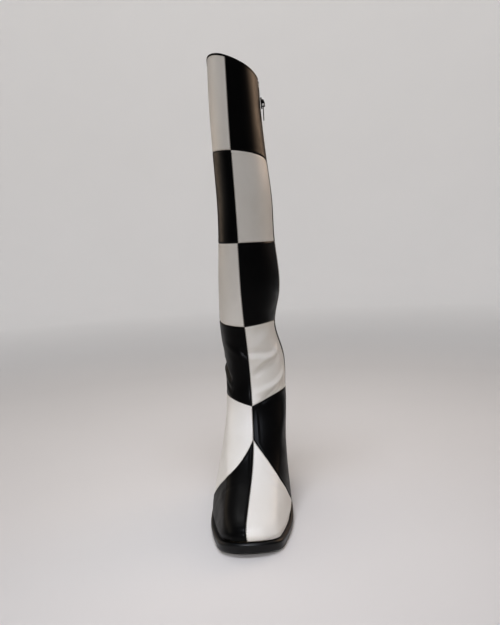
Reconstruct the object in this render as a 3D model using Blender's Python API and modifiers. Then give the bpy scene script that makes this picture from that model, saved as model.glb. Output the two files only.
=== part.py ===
"""Knee-high block-heeled boot for the right foot, standing empty on its sole.

The frame is in metres, +Z up. The toe points to -Y, the inside of the leg is +X, and the origin is the
middle of the heel's ground contact. The tables and sizes below are in millimetres. The leather upper is a
loft through closed sections, from the feather edge up to the collar. Each section runs round the boot from
the centre-front seam to the centre back.
"""

import math
from collections import namedtuple

import bmesh
import bpy
import numpy as np
from mathutils import Vector

MM = 0.001

# Sizes of the shell
WALL = 1.8
GAP = 0.3
TOP_LINE_CLEARANCE = 2.0

# Sizes of the sole and the heel
LEDGE_TOE = 3.0
LEDGE_BALL = 2.6
LEDGE_WAIST = 1.4
LEDGE_HEEL = 0.8
FOREPART_THICKNESS = 10.4
WAIST_THICKNESS = 5.0
THINNING_START = -122.0
THINNING_END = -62.0
TREAD_BLEND = 0.8
SOLE_SEAT_GAP = 0.4
HEEL_BREAST_TOP = -27.0
HEEL_BACK_TOP = 42.5
HEEL_HALF_LENGTH_FOOT = 28.0
HEEL_HALF_WIDTH_TOP = 27.0
HEEL_HALF_WIDTH_FOOT = 25.5
HEEL_CENTRE_TOP = 1.5
HEEL_CORNER = 6.0
HEEL_ROWS = 3
TOP_PIECE_THICKNESS = 6.0
TOP_PIECE_CHAMFER = 0.8
INSOLE_THICKNESS = 3.0
INSOLE_CLEARANCE = 0.9

# Sizes of the zip
ZIP_SLOT = 6.4
ZIP_MOUTH = 15.0
ZIP_FOOT_SECTION = 5
ZIP_FOOT_CLEARANCE = 1.0
SLIDER_HEIGHT = 467.0
TAPE_HIDDEN = 7.0
TAPE_THICKNESS = 0.8
TAPE_HALF_GAP = 0.3
CHAIN_WIDTH = 5.0
CHAIN_THICKNESS = 2.2
CHAIN_PROUD = 0.4
SLIDER_LENGTH = 13.0
SLIDER_WIDTH = 8.6
SLIDER_PLATE = 1.6
SLIDER_EDGE = 0.6
BAIL_GAP = 2.2
BAIL_BAR = 1.0
BAIL_WIDTH = 1.6
BAIL_POST = 1.4
BAIL_SPAN = 9.0
BAIL_SHOULDER = 0.1
PULL_LENGTH = 19.0
PULL_WIDTH = 6.0
PULL_THICKNESS = 1.0
PULL_BAR = 1.4
PULL_HOLE_WIDTH = 3.2
PULL_HOLE_LENGTH = 4.0
PULL_CORNER = 1.2
PULL_HOLE_CORNER = 0.8

# Mesh fineness
FRONT_COLUMNS = 18
BACK_COLUMNS = 9
FRONT_CROWDING = 1.25
OUTLINE_STEPS = 160
SLAB_STEPS = 40
SHARP_DEGREES = 40

# How deep the rounded back of a section is, as a share of its half width there
BACK_ROUNDING = 1.15

# Sections of the upper, from the feather edge to the collar. Front and back are points of the side view on
# the centre-front seam and the centre back. tip, fore and aft are the side edges at three stations between
# them, lateral (-X) and medial (+X), and heel is the half width at the back. cap is how deep the rounded
# front end is. hug is how closely the section follows the sole's curve, cant is how far the lateral side
# stands above the level, and rows is the number of mesh rows up to the next section.
SECTION_COLUMNS = (
    "front_x front_y front_z back_x back_y back_z "
    "tip_lat tip_med fore_lat fore_med aft_lat aft_med heel cap hug cant rows"
)
Section = namedtuple("Section", SECTION_COLUMNS)
SECTIONS = (
    Section(-4.5, -211, 15, 2, 45, 69.9, -27, 24, -45.0, 39.0, -33, 30, 28, 17, 1.00, 0, 1),
    Section(-5, -213, 21, 2, 48, 82, -28, 25, -46.5, 40.5, -36, 33.5, 30.5, 18, 0.95, 0, 1),
    Section(-5.2, -209.5, 27, 2, 49, 92, -26.5, 23, -42.5, 39.0, -36, 35.5, 31.5, 20, 0.80, 0, 2),
    Section(-4.5, -190, 34.5, 2, 48.5, 102, -23, 18, -36.5, 37.0, -35, 36.5, 31.5, 26, 0.55, 0, 2),
    Section(-2, -154, 48, 2, 47, 112, -22, 19, -34.0, 36.7, -33.5, 37, 31, 34, 0.25, 0, 2),
    Section(0.5, -122, 66, 2, 44, 122, -25, 25, -32.7, 37.5, -32, 38.5, 30, 38, 0.10, 0, 2),
    Section(1.3, -97, 87, 2.5, 41, 133, -29, 34, -31.6, 38.7, -31, 39.0, 28, 42, 0.00, 0, 2),
    Section(0.5, -70, 116, 2.5, 38, 148, -31.6, 39.6, -31.6, 39.6, -31.5, 38.5, 27, 48, 0.00, 0, 2),
    Section(-1, -61, 160, 2, 38, 174, -33.5, 39.4, -33.5, 39.4, -33, 38, 27, 50, 0.00, 0, 2),
    Section(-3.5, -60, 201, 1, 43, 206, -36.3, 30.4, -36.3, 30.4, -36.3, 30.4, 27, 50, 0.00, 0, 2),
    Section(-5.4, -61.5, 239, 1, 50, 240, -36.2, 37.0, -36.2, 37.0, -36.2, 37.0, 30, 54, 0.00, 0, 3),
    Section(-6.2, -64, 304, 1, 60, 304, -33.4, 34.4, -33.4, 34.4, -33.4, 34.4, 30, 58, 0.00, 0, 3),
    Section(-7, -65, 355, 0, 64, 354, -32.6, 34.2, -32.6, 34.2, -32.6, 34.2, 30, 60, 0.00, 2, 3),
    Section(-8.3, -66, 407, -1, 66, 404, -34.2, 30, -34.2, 30, -34.2, 30, 30, 60, 0.00, 5, 4),
    Section(-9.2, -66, 510, -4, 66, 500, -35.2, 24.5, -35.2, 24.5, -35.2, 24.5, 28, 60, 0.00, 11, 0),
)
STATIONS = (0.0, 0.42, 0.68, 1.0)

# The sole's upper face in side view: toe spring, ball, arched waist and heel seat
SoleTop = namedtuple("SoleTop", "y z")
SOLE_TOP = (
    SoleTop(-215, 15.9),
    SoleTop(-190, 11.2),
    SoleTop(-160, 9.3),
    SoleTop(-125, 9.8),
    SoleTop(-92, 20.0),
    SoleTop(-55, 43.0),
    SoleTop(-18, 63.0),
    SoleTop(15, 68.0),
    SoleTop(48, 70.0),
)

# Where the side seams run, in side view
SideSeam = namedtuple("SideSeam", "z y")
SIDE_SEAM = (
    SideSeam(0, -15),
    SideSeam(110, -8),
    SideSeam(210, -6),
    SideSeam(300, 0),
    SideSeam(520, 0),
)

# The sole's side in section: how far in from the widest line, and how far down, as a share of the thickness
SoleEdge = namedtuple("SoleEdge", "inset depth")
SOLE_EDGE = (SoleEdge(0.9, 0.0), SoleEdge(0.0, 0.10), SoleEdge(0.4, 0.75), SoleEdge(1.8, 1.0))

# Colours (linear), roughness and metallic value of each material
Finish = namedtuple("Finish", "colour roughness metallic")
FINISHES = {
    "leather_white": Finish((0.55, 0.52, 0.47), 0.38, 0.0),
    "sole_rubber": Finish((0.012, 0.012, 0.013), 0.45, 0.0),
    "heel_black": Finish((0.010, 0.010, 0.011), 0.35, 0.0),
    "insock": Finish((0.35, 0.30, 0.24), 0.70, 0.0),
    "zip_cloth": Finish((0.012, 0.012, 0.012), 0.80, 0.0),
    "zip_teeth": Finish((0.015, 0.015, 0.016), 0.35, 0.0),
    "zip_metal": Finish((0.03, 0.03, 0.032), 0.25, 1.0),
}


def spline(knots, values):
    """A natural cubic spline through the values at the knots, as a function."""
    x = np.asarray(knots, float)
    y = np.asarray(values, float)
    last = len(x) - 1
    step = np.diff(x)
    matrix = np.eye(last + 1)
    target = np.zeros_like(y)
    for i in range(1, last):
        matrix[i, i - 1 : i + 2] = step[i - 1], 2 * (step[i - 1] + step[i]), step[i]
        target[i] = 6 * ((y[i + 1] - y[i]) / step[i] - (y[i] - y[i - 1]) / step[i - 1])
    bend = np.linalg.solve(matrix, target)

    def at(q):
        q = np.asarray(q, float)
        i = np.clip(np.searchsorted(x, q) - 1, 0, last - 1)
        d = step[i]
        a = (x[i + 1] - q) / d
        b = (q - x[i]) / d
        if y.ndim > 1:
            d, a, b = d[..., None], a[..., None], b[..., None]
        curve = (a**3 - a) * bend[i] + (b**3 - b) * bend[i + 1]
        return a * y[i] + b * y[i + 1] + d * d / 6 * curve

    return at


sole_top = spline([p.y for p in SOLE_TOP], [p.z for p in SOLE_TOP])


def sole_bottom(y):
    """The underside: flat on the ground under the ball, sprung at the toe, thin through the waist."""
    share = np.clip((np.asarray(y, float) - THINNING_START) / (THINNING_END - THINNING_START), 0, 1)
    share = share * share * (3 - 2 * share)
    thickness = FOREPART_THICKNESS + (WAIST_THICKNESS - FOREPART_THICKNESS) * share
    height = sole_top(y) - SOLE_SEAT_GAP - thickness
    lift = np.clip(height + TREAD_BLEND, 0, 2 * TREAD_BLEND)
    return np.where(height > TREAD_BLEND, height, lift**2 / (4 * TREAD_BLEND))


def rounded(distance, depth):
    """Share of the full width at a distance from a round end of that depth."""
    e = np.clip(distance / depth, 0, 1)
    return np.sqrt(1 - (1 - e) ** 2)


def outline(section, steps=OUTLINE_STEPS):
    """The lateral and the medial edge of a section, front to back, as two arrays of points."""
    q = Section(*section)
    s = (1 - np.cos(np.pi * np.linspace(0, 1, steps))) / 2
    length = q.back_y - q.front_y
    y = q.front_y + s * length
    axis = q.front_x + (q.back_x - q.front_x) * s
    ends = rounded(s * length, q.cap) * rounded((1 - s) * length, BACK_ROUNDING * q.heel)
    rise = s
    hug = max(0.0, q.hug)
    if hug > 0:
        low, high = sole_top(q.front_y), sole_top(q.back_y)
        rise = (1 - hug) * s + hug * (sole_top(y) - low) / (high - low)
    z = q.front_z + (q.back_z - q.front_z) * rise
    half = 0.5 * (q.fore_med - q.fore_lat)
    edges = []
    for widths in (
        (q.tip_lat, q.fore_lat, q.aft_lat, q.back_x - q.heel),
        (q.tip_med, q.fore_med, q.aft_med, q.back_x + q.heel),
    ):
        x = axis + (spline(STATIONS, widths)(s) - axis) * ends
        edges.append(np.stack([x, y, z + q.cant * (axis - x) / half], 1))
    return edges


def section_heights():
    """How far up the shell each section of the table lies: the mean of the front's and the back's climb."""
    heights = [0.0]
    for a, b in zip(SECTIONS, SECTIONS[1:]):
        front = math.dist((a.front_y, a.front_z), (b.front_y, b.front_z))
        back = math.dist((a.back_y, a.back_z), (b.back_y, b.back_z))
        heights.append(heights[-1] + 0.5 * (front + back))
    return heights


HEIGHTS = section_heights()
section_at = spline(HEIGHTS, SECTIONS)


def shell_levels():
    """The levels of the mesh rows, from the feather edge to the collar."""
    levels = []
    for i, section in enumerate(SECTIONS[:-1]):
        share = np.arange(section.rows) / section.rows
        levels += list(HEIGHTS[i] + (HEIGHTS[i + 1] - HEIGHTS[i]) * share)
    return levels + [HEIGHTS[-1]]


def arc_lengths(points):
    return np.concatenate([[0.0], np.cumsum(np.linalg.norm(np.diff(points, axis=0), axis=1))])


def along(points, lengths):
    """Points at those arc lengths along a polyline."""
    run = arc_lengths(points)
    return np.stack([np.interp(lengths, run, points[:, k]) for k in range(3)], 1)


def side_length(edge):
    """Arc length from the front to the side seam on one edge of a section."""
    seam = np.interp(edge[:, 2], [p.z for p in SIDE_SEAM], [p.y for p in SIDE_SEAM])
    return np.interp(0.0, edge[:, 1] - seam, arc_lengths(edge))


def slot_width(z):
    """The zip's slot: even up to the slider, then opening towards the collar."""
    share = np.clip((z - SLIDER_HEIGHT) / (SECTIONS[-1].back_z - SLIDER_HEIGHT), 0, 1)
    return ZIP_SLOT + (ZIP_MOUTH - ZIP_SLOT) * share


def shell_row(level):
    """One closed row of points round the boot: seam, lateral side, back, zip edges, medial side."""
    lateral, medial = outline(section_at(level))
    front_shares = np.linspace(0, 1, FRONT_COLUMNS + 1) ** FRONT_CROWDING
    back_shares = np.linspace(0, 1, BACK_COLUMNS + 1)
    side = side_length(lateral)
    whole = arc_lengths(lateral)[-1]
    row = [along(lateral, side * front_shares), along(lateral, side + (whole - side) * back_shares[1:])]
    side = side_length(medial)
    whole = arc_lengths(medial)[-1]
    half = 0.5 * slot_width(along(medial, [side])[0, 2])
    row.append(along(medial, whole - (whole - side - half) * back_shares[1:]))
    row.append(along(medial, (side - half) * front_shares[:0:-1]))
    return np.concatenate(row)


def zip_strip(offsets, inward, levels):
    """Rows of points along the slot: arc offsets from its middle line, moved in from the outer face."""
    rows = []
    for level in levels:
        _, medial = outline(section_at(level))
        side = side_length(medial)
        middle = along(medial, [side])[0]
        lengths = side + np.asarray(offsets(middle[2]))
        points = along(medial, lengths)
        tangent = along(medial, lengths + 1) - along(medial, lengths - 1)
        normal = np.stack([tangent[:, 1], -tangent[:, 0]], 1)
        normal /= np.linalg.norm(normal, axis=1)[:, None]
        points[:, :2] -= normal * inward
        rows.append(points)
    return rows


def material(name):
    found = bpy.data.materials.get(name)
    if found:
        return found
    finish = FINISHES[name]
    made = bpy.data.materials.new(name)
    made.use_nodes = True
    shader = made.node_tree.nodes["Principled BSDF"]
    shader.inputs["Base Color"].default_value = (*finish.colour, 1)
    shader.inputs["Roughness"].default_value = finish.roughness
    shader.inputs["Metallic"].default_value = finish.metallic
    return made


def collection(name):
    made = bpy.data.collections.new(name)
    bpy.context.scene.collection.children.link(made)
    return made


def new_object(name, mesh, finish, group):
    made = bpy.data.objects.new(name, mesh)
    mesh.materials.append(material(finish))
    group.objects.link(made)
    return made


def grid_mesh(name, rows, closed, keep=None):
    """A sheet of quads over rows of points in millimetres. keep says which faces stay."""
    rows = np.asarray(rows)
    count, width = rows.shape[:2]
    bm = bmesh.new()
    verts = [[bm.verts.new(p * MM) for p in row] for row in rows]
    for i in range(count - 1):
        for j in range(width if closed else width - 1):
            k = (j + 1) % width
            if keep is None or keep(i, j):
                bm.faces.new((verts[i][j], verts[i][k], verts[i + 1][k], verts[i + 1][j]))
    return finished_mesh(name, bm)


def finished_mesh(name, bm):
    bmesh.ops.delete(bm, geom=[v for v in bm.verts if not v.link_faces], context="VERTS")
    bmesh.ops.recalc_face_normals(bm, faces=bm.faces)
    mesh = bpy.data.meshes.new(name)
    bm.to_mesh(mesh)
    bm.free()
    mesh.shade_smooth()
    mesh.set_sharp_from_angle(angle=math.radians(SHARP_DEGREES))
    return mesh


def solidify(made, thickness, offset):
    thick = made.modifiers.new("thickness", "SOLIDIFY")
    thick.thickness = thickness * MM
    thick.offset = offset
    thick.use_even_offset = True


def slab_mesh(name, rings):
    """A closed slab from stacked rings of a lateral and a medial edge. The end faces are strips across."""
    bm = bmesh.new()
    loops = []
    for lateral, medial in rings:
        points = np.concatenate([lateral, medial[-2:0:-1]])
        loops.append([bm.verts.new(p * MM) for p in points])
    count = len(loops[0])
    for low, high in zip(loops, loops[1:]):
        for j in range(count):
            k = (j + 1) % count
            bm.faces.new((low[j], low[k], high[k], high[j]))
    for loop in (loops[0], loops[-1]):
        for j in range(count // 2):
            strip = [loop[j], loop[j + 1], loop[count - j - 1], loop[-j % count]]
            bm.faces.new(list(dict.fromkeys(strip)))
    return finished_mesh(name, bm)


def inset_ring(section, inset, height, steps=SLAB_STEPS):
    """The section's outline moved in by inset, as a ring. height gives z for each y."""
    q = Section(*section)
    smaller = q._replace(
        front_y=q.front_y + inset,
        back_y=q.back_y - inset,
        tip_lat=q.tip_lat + inset,
        tip_med=q.tip_med - inset,
        fore_lat=q.fore_lat + inset,
        fore_med=q.fore_med - inset,
        aft_lat=q.aft_lat + inset,
        aft_med=q.aft_med - inset,
        heel=q.heel - inset,
    )
    ring = []
    for edge in outline(smaller, steps):
        ring.append(np.stack([edge[:, 0], edge[:, 1], height(edge[:, 1])], 1))
    return ring


def make_upper(group):
    """One leather shell with a slot for the zip, open at the collar and underneath."""
    levels = shell_levels()
    rows = [shell_row(level) for level in levels]
    slot_column = FRONT_COLUMNS + 2 * BACK_COLUMNS
    slot_foot = levels.index(HEIGHTS[ZIP_FOOT_SECTION])

    def keep(i, j):
        return j != slot_column or i < slot_foot

    upper = new_object("upper", grid_mesh("upper", rows, True, keep), "leather_white", group)
    solidify(upper, WALL, -1)
    return upper


def sole_section():
    """The sole's outline: the feather edge with a ledge, wide round the forepart and slim at the heel."""
    q = SECTIONS[0]
    return q._replace(
        front_y=q.front_y - LEDGE_TOE,
        back_y=q.back_y + LEDGE_HEEL,
        tip_lat=q.tip_lat - LEDGE_BALL,
        tip_med=q.tip_med + LEDGE_BALL,
        fore_lat=q.fore_lat - LEDGE_BALL,
        fore_med=q.fore_med + LEDGE_BALL,
        aft_lat=q.aft_lat - LEDGE_WAIST,
        aft_med=q.aft_med + LEDGE_WAIST,
        heel=q.heel + LEDGE_HEEL,
    )


def make_outsole(group):
    """Rubber sole: square toe, toe spring, flat ball tread, arched waist and a thin heel seat."""
    rings = []
    for edge in SOLE_EDGE:

        def height(y, depth=edge.depth):
            top = sole_top(y) - SOLE_SEAT_GAP
            return top + (sole_bottom(y) - top) * depth

        rings.append(inset_ring(sole_section(), edge.inset, height))
    return new_object("outsole", slab_mesh("outsole", rings), "sole_rubber", group)


def make_insole(group):
    """Board that closes the shell from inside, following the sole's curve."""
    inset = WALL + INSOLE_CLEARANCE
    rings = [
        inset_ring(SECTIONS[0], inset, sole_top),
        inset_ring(SECTIONS[0], inset, lambda y: sole_top(y) + INSOLE_THICKNESS),
    ]
    return new_object("insole", slab_mesh("insole", rings), "insock", group)


def heel_section(share):
    """The block heel's outline at a share of its height, from its foot (0) to the heel seat (1)."""
    half = HEEL_HALF_WIDTH_FOOT + (HEEL_HALF_WIDTH_TOP - HEEL_HALF_WIDTH_FOOT) * share
    centre = HEEL_CENTRE_TOP * share
    breast = -HEEL_HALF_LENGTH_FOOT + (HEEL_BREAST_TOP + HEEL_HALF_LENGTH_FOOT) * share
    back = HEEL_HALF_LENGTH_FOOT + (HEEL_BACK_TOP - HEEL_HALF_LENGTH_FOOT) * share
    low, high = centre - half, centre + half
    sides = (low, high, low, high, low, high)
    return Section(centre, breast, 0, centre, back, 0, *sides, half, HEEL_CORNER, 0, 0, 1)


def make_heel(group):
    """Block heel: its top follows the underside of the sole, and it narrows a little to its foot."""
    foot = TOP_PIECE_THICKNESS + GAP
    rings = []
    for share in np.linspace(0, 1, HEEL_ROWS + 1):

        def height(y, share=share):
            return foot + (sole_bottom(y) - GAP - foot) * share

        rings.append(inset_ring(heel_section(share), 0.0, height))
    return new_object("heel", slab_mesh("heel", rings), "heel_black", group)


def make_top_piece(group):
    """Wearing pad under the heel, with a small chamfer at the ground."""
    section = heel_section(0.0)
    rings = [
        inset_ring(section, TOP_PIECE_CHAMFER, lambda y: np.zeros_like(y)),
        inset_ring(section, 0.0, lambda y: np.full_like(y, TOP_PIECE_CHAMFER)),
        inset_ring(section, 0.0, lambda y: np.full_like(y, TOP_PIECE_THICKNESS)),
    ]
    return new_object("heel_top_piece", slab_mesh("heel_top_piece", rings), "sole_rubber", group)


def zip_line():
    """Mesh levels from just above the slot's foot to the collar, and the zip's middle point at each."""
    foot = HEIGHTS[ZIP_FOOT_SECTION] + ZIP_FOOT_CLEARANCE
    levels = [foot] + [level for level in shell_levels() if level > foot]
    points = []
    for level in levels:
        _, medial = outline(section_at(level))
        points.append(along(medial, [side_length(medial)])[0])
    return np.array(levels), np.array(points)


def zip_levels(top):
    """The zip line's levels below a height, with a last one at that height."""
    levels, points = zip_line()
    below = levels[points[:, 2] < top]
    return [*below, np.interp(top, points[:, 2], levels)]


def make_zip(group):
    """Two tapes behind the slot and the closed chain of teeth in it, up to the slider."""
    inward = WALL + GAP + 0.5 * TAPE_THICKNESS
    collar = SECTIONS[-1].back_z - SECTIONS[-1].cant - TOP_LINE_CLEARANCE
    for name, sign in (("zip_tape_front", -1), ("zip_tape_back", 1)):

        def offsets(z, sign=sign):
            half = 0.5 * slot_width(z)
            inner = TAPE_HALF_GAP + half - 0.5 * ZIP_SLOT
            return sorted((sign * inner, sign * half, sign * (half + TAPE_HIDDEN)))

        rows = zip_strip(offsets, inward, zip_levels(collar))
        tape = new_object(name, grid_mesh(name, rows, False), "zip_cloth", group)
        solidify(tape, TAPE_THICKNESS, 0)
    levels = zip_levels(SLIDER_HEIGHT + 0.5 * SLIDER_LENGTH)
    half = 0.5 * CHAIN_WIDTH
    rows = zip_strip(lambda z: (-half, half), 0.5 * CHAIN_THICKNESS - CHAIN_PROUD, levels)
    chain = new_object("zip_chain", grid_mesh("zip_chain", rows, False), "zip_teeth", group)
    solidify(chain, CHAIN_THICKNESS, 0)


def slider_place():
    """Where the slider sits: a point of the outer face on the zip line, and the shaft's lean there."""
    _, points = zip_line()

    def point_at(z):
        return np.array([np.interp(z, points[:, 2], points[:, k]) for k in range(3)])

    low = point_at(SLIDER_HEIGHT - 0.5 * SLIDER_LENGTH)
    high = point_at(SLIDER_HEIGHT + 0.5 * SLIDER_LENGTH)
    lean = math.atan2(high[0] - low[0], high[2] - low[2])
    return point_at(SLIDER_HEIGHT), lean


def box_mesh(name, size, centre):
    bm = bmesh.new()
    bmesh.ops.create_cube(bm, size=1)
    bmesh.ops.scale(bm, vec=np.array(size) * MM, verts=bm.verts)
    bmesh.ops.translate(bm, vec=np.array(centre) * MM, verts=bm.verts)
    return finished_mesh(name, bm)


def join(made, other):
    union = made.modifiers.new("join " + other.name, "BOOLEAN")
    union.operation = "UNION"
    union.object = other


def make_slider(group, cutters):
    """Slider body with a bail along it, on an empty that follows the shaft's lean."""
    place, lean = slider_place()
    seat = bpy.data.objects.new("slider_seat", None)
    seat.location = place * MM
    seat.rotation_euler = (0, lean, 0)
    group.objects.link(seat)
    face = CHAIN_PROUD + GAP + SLIDER_PLATE
    plate_size = (SLIDER_PLATE, SLIDER_WIDTH, SLIDER_LENGTH)
    plate = box_mesh("zip_slider", plate_size, (face - 0.5 * SLIDER_PLATE, 0, 0))
    slider = new_object("zip_slider", plate, "zip_metal", group)
    edge = slider.modifiers.new("soft edges", "BEVEL")
    edge.width = SLIDER_EDGE * MM
    edge.segments = 2
    height = BAIL_GAP + BAIL_BAR
    sunk = 0.5 * SLIDER_PLATE
    post_place = 0.5 * (BAIL_SPAN - BAIL_POST)
    bar_size = (BAIL_BAR, BAIL_WIDTH, BAIL_SPAN)
    post_size = (height + sunk - BAIL_SHOULDER, BAIL_WIDTH - BAIL_SHOULDER, BAIL_POST)
    shapes = [("bail_bar", bar_size, (face + height - 0.5 * BAIL_BAR, 0, 0))]
    for name, side in (("bail_post_low", -1), ("bail_post_high", 1)):
        centre = (face - sunk + 0.5 * post_size[0], 0, side * (post_place - BAIL_SHOULDER))
        shapes.append((name, post_size, centre))
    for name, size, centre in shapes:
        helper = bpy.data.objects.new(name, box_mesh(name, size, centre))
        helper.hide_render = True
        helper.display_type = "WIRE"
        cutters.objects.link(helper)
        helper.parent = seat
        join(slider, helper)
    slider.parent = seat
    return seat, face


def pull_outline(data, points):
    line = data.splines.new("POLY")
    line.points.add(len(points) - 1)
    for point, (x, y) in zip(line.points, points):
        point.co = (x * MM, y * MM, 0, 1)
    line.use_cyclic_u = True


def round_rectangle(width, top, bottom, radius, steps=4):
    """Corners of a rounded rectangle, from its top down, in its own plane."""
    points = []
    half = 0.5 * width
    for quarter, (x, y) in enumerate(((half, top), (-half, top), (-half, bottom), (half, bottom))):
        centre = (math.copysign(half - radius, x), y - radius if y == top else y + radius)
        for step in range(steps + 1):
            angle = math.radians(90 * (quarter + step / steps))
            points.append((centre[0] + radius * math.cos(angle), centre[1] + radius * math.sin(angle)))
    return points


def make_pull(group, seat, face):
    """Pull tab: a flat paddle whose top bar hangs in the bail. Its origin is on the swing axis."""
    data = bpy.data.curves.new("zip_pull", "CURVE")
    data.dimensions = "2D"
    data.fill_mode = "BOTH"
    data.extrude = 0.5 * PULL_THICKNESS * MM
    top = 0.5 * PULL_BAR
    pull_outline(data, round_rectangle(PULL_WIDTH, top, top - PULL_LENGTH, PULL_CORNER))
    hole = round_rectangle(PULL_HOLE_WIDTH, -top, -top - PULL_HOLE_LENGTH, PULL_HOLE_CORNER)
    pull_outline(data, hole)
    pull = new_object("zip_pull", data, "zip_metal", group)
    bpy.context.view_layer.update()
    post_face = -0.5 * BAIL_SPAN + BAIL_POST
    clearance = math.hypot(0.5 * PULL_BAR, 0.5 * PULL_THICKNESS) + GAP
    in_bail = Vector((face + 0.5 * BAIL_GAP, 0, post_face + clearance))
    pivot = seat.matrix_world @ (in_bail * MM)
    pull.location = pivot
    pull.rotation_euler = (math.radians(90), 0, math.radians(90))
    return pivot


def clear_scene():
    for old in list(bpy.data.objects):
        bpy.data.objects.remove(old, do_unlink=True)


def main():
    clear_scene()
    boot = collection("heeled_boot")
    cutters = collection("cutters")
    make_upper(boot)
    make_outsole(boot)
    make_insole(boot)
    make_heel(boot)
    make_top_piece(boot)
    make_zip(boot)
    seat, face = make_slider(boot, cutters)
    pivot = make_pull(boot, seat, face)
    print("pull tab swing axis through", [round(c, 5) for c in pivot])


main()
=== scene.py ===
# %% [markdown]
# # A knee-high checkerboard boot
# This lesson dresses one right boot: leather panels in black and off-white, a square toe, a black rubber
# sole, a block heel and an inside zip. The solids of the boot are loaded as a fixed frame, and every piece
# made here sits on that frame in the same metres. The toe points to -Y, +X is the inside of the leg, and
# the origin is under the middle of the heel.

import math
from collections import namedtuple

import bmesh
import bpy
import numpy as np
from mathutils import Matrix, Vector


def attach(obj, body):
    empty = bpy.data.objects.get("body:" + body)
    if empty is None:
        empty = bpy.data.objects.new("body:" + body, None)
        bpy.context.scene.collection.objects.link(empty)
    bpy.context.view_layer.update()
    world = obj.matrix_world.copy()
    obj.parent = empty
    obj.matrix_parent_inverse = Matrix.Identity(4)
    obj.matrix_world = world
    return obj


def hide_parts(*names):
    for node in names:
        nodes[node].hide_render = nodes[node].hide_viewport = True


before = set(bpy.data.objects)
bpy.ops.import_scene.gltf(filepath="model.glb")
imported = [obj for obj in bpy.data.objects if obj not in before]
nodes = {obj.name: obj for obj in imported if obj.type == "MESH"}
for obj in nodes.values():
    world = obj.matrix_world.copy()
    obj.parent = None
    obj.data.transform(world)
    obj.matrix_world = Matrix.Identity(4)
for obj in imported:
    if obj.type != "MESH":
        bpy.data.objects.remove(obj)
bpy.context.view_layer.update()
MM = 0.001
print("frame nodes:", ", ".join(sorted(nodes)))

# %% [markdown]
# ## Small helpers for materials
# Colours are written as sRGB hex, the way a colour picker shows them, and one function makes them linear,
# which is what the renderer adds up. A second function adds one shader node with its settings and its
# links, so that each material below reads as a short list of what the surface does. A last one gives a
# surface a fine relief, which four of the materials have: pores, twisted thread or woven cloth.


# %% Colour and node helpers
def linear(hex_colour):
    """Linear RGBA of an sRGB hex colour such as #808080."""
    channels = [int(hex_colour[i : i + 2], 16) / 255 for i in (1, 3, 5)]
    lit = [c / 12.92 if c <= 0.04045 else ((c + 0.055) / 1.055) ** 2.4 for c in channels]
    return (*lit, 1.0)


def add_node(tree, kind, settings=None, links=None):
    """One node. A setting is an input socket's value, or else a property of the node."""
    made = tree.nodes.new(kind)
    for key, value in (settings or {}).items():
        if isinstance(key, int) or key in made.inputs:
            made.inputs[key].default_value = value
        else:
            setattr(made, key, value)
    for key, source in (links or {}).items():
        tree.links.new(source, made.inputs[key])
    return made


def new_material(name, settings):
    """A material whose Principled shader has these uniform values, with its tree and its shader."""
    made = bpy.data.materials.new(name)
    made.use_nodes = True
    shader = made.node_tree.nodes["Principled BSDF"]
    for key, value in settings.items():
        shader.inputs[key].default_value = value
    return made, made.node_tree, shader


def add_relief(tree, shader, kind, output, settings, strength, depth_mm):
    """A fine pattern in object coordinates that raises the surface, to this depth at full strength."""
    place = add_node(tree, "ShaderNodeTexCoord").outputs["Object"]
    pattern = add_node(tree, kind, settings, {"Vector": place})
    bump = add_node(
        tree,
        "ShaderNodeBump",
        {"Strength": strength, "Distance": depth_mm * MM},
        {"Height": pattern.outputs[output]},
    )
    tree.links.new(bump.outputs["Normal"], shader.inputs["Normal"])


WAVE_BAND = math.pi / 10  # width of one band of a wave texture at scale 1
print("a mid grey of sRGB is", [round(c, 3) for c in linear("#808080")[:3]], "in linear light")

# %% [markdown]
# ## The last, as sections
# The frame's upper is a faceted shell, good for collisions but too coarse for a glossy surface. The shape
# behind it is a loft through fifteen sections, from the feather edge at the sole up to the collar. The same
# sections are written here again, in millimetres, so that the leather is smooth and each point knows where
# it lies: how far round from the front seam, and how far up the boot. Sculpting would also give a smooth
# shape, but seams and folds could then not be placed by measure.

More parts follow.
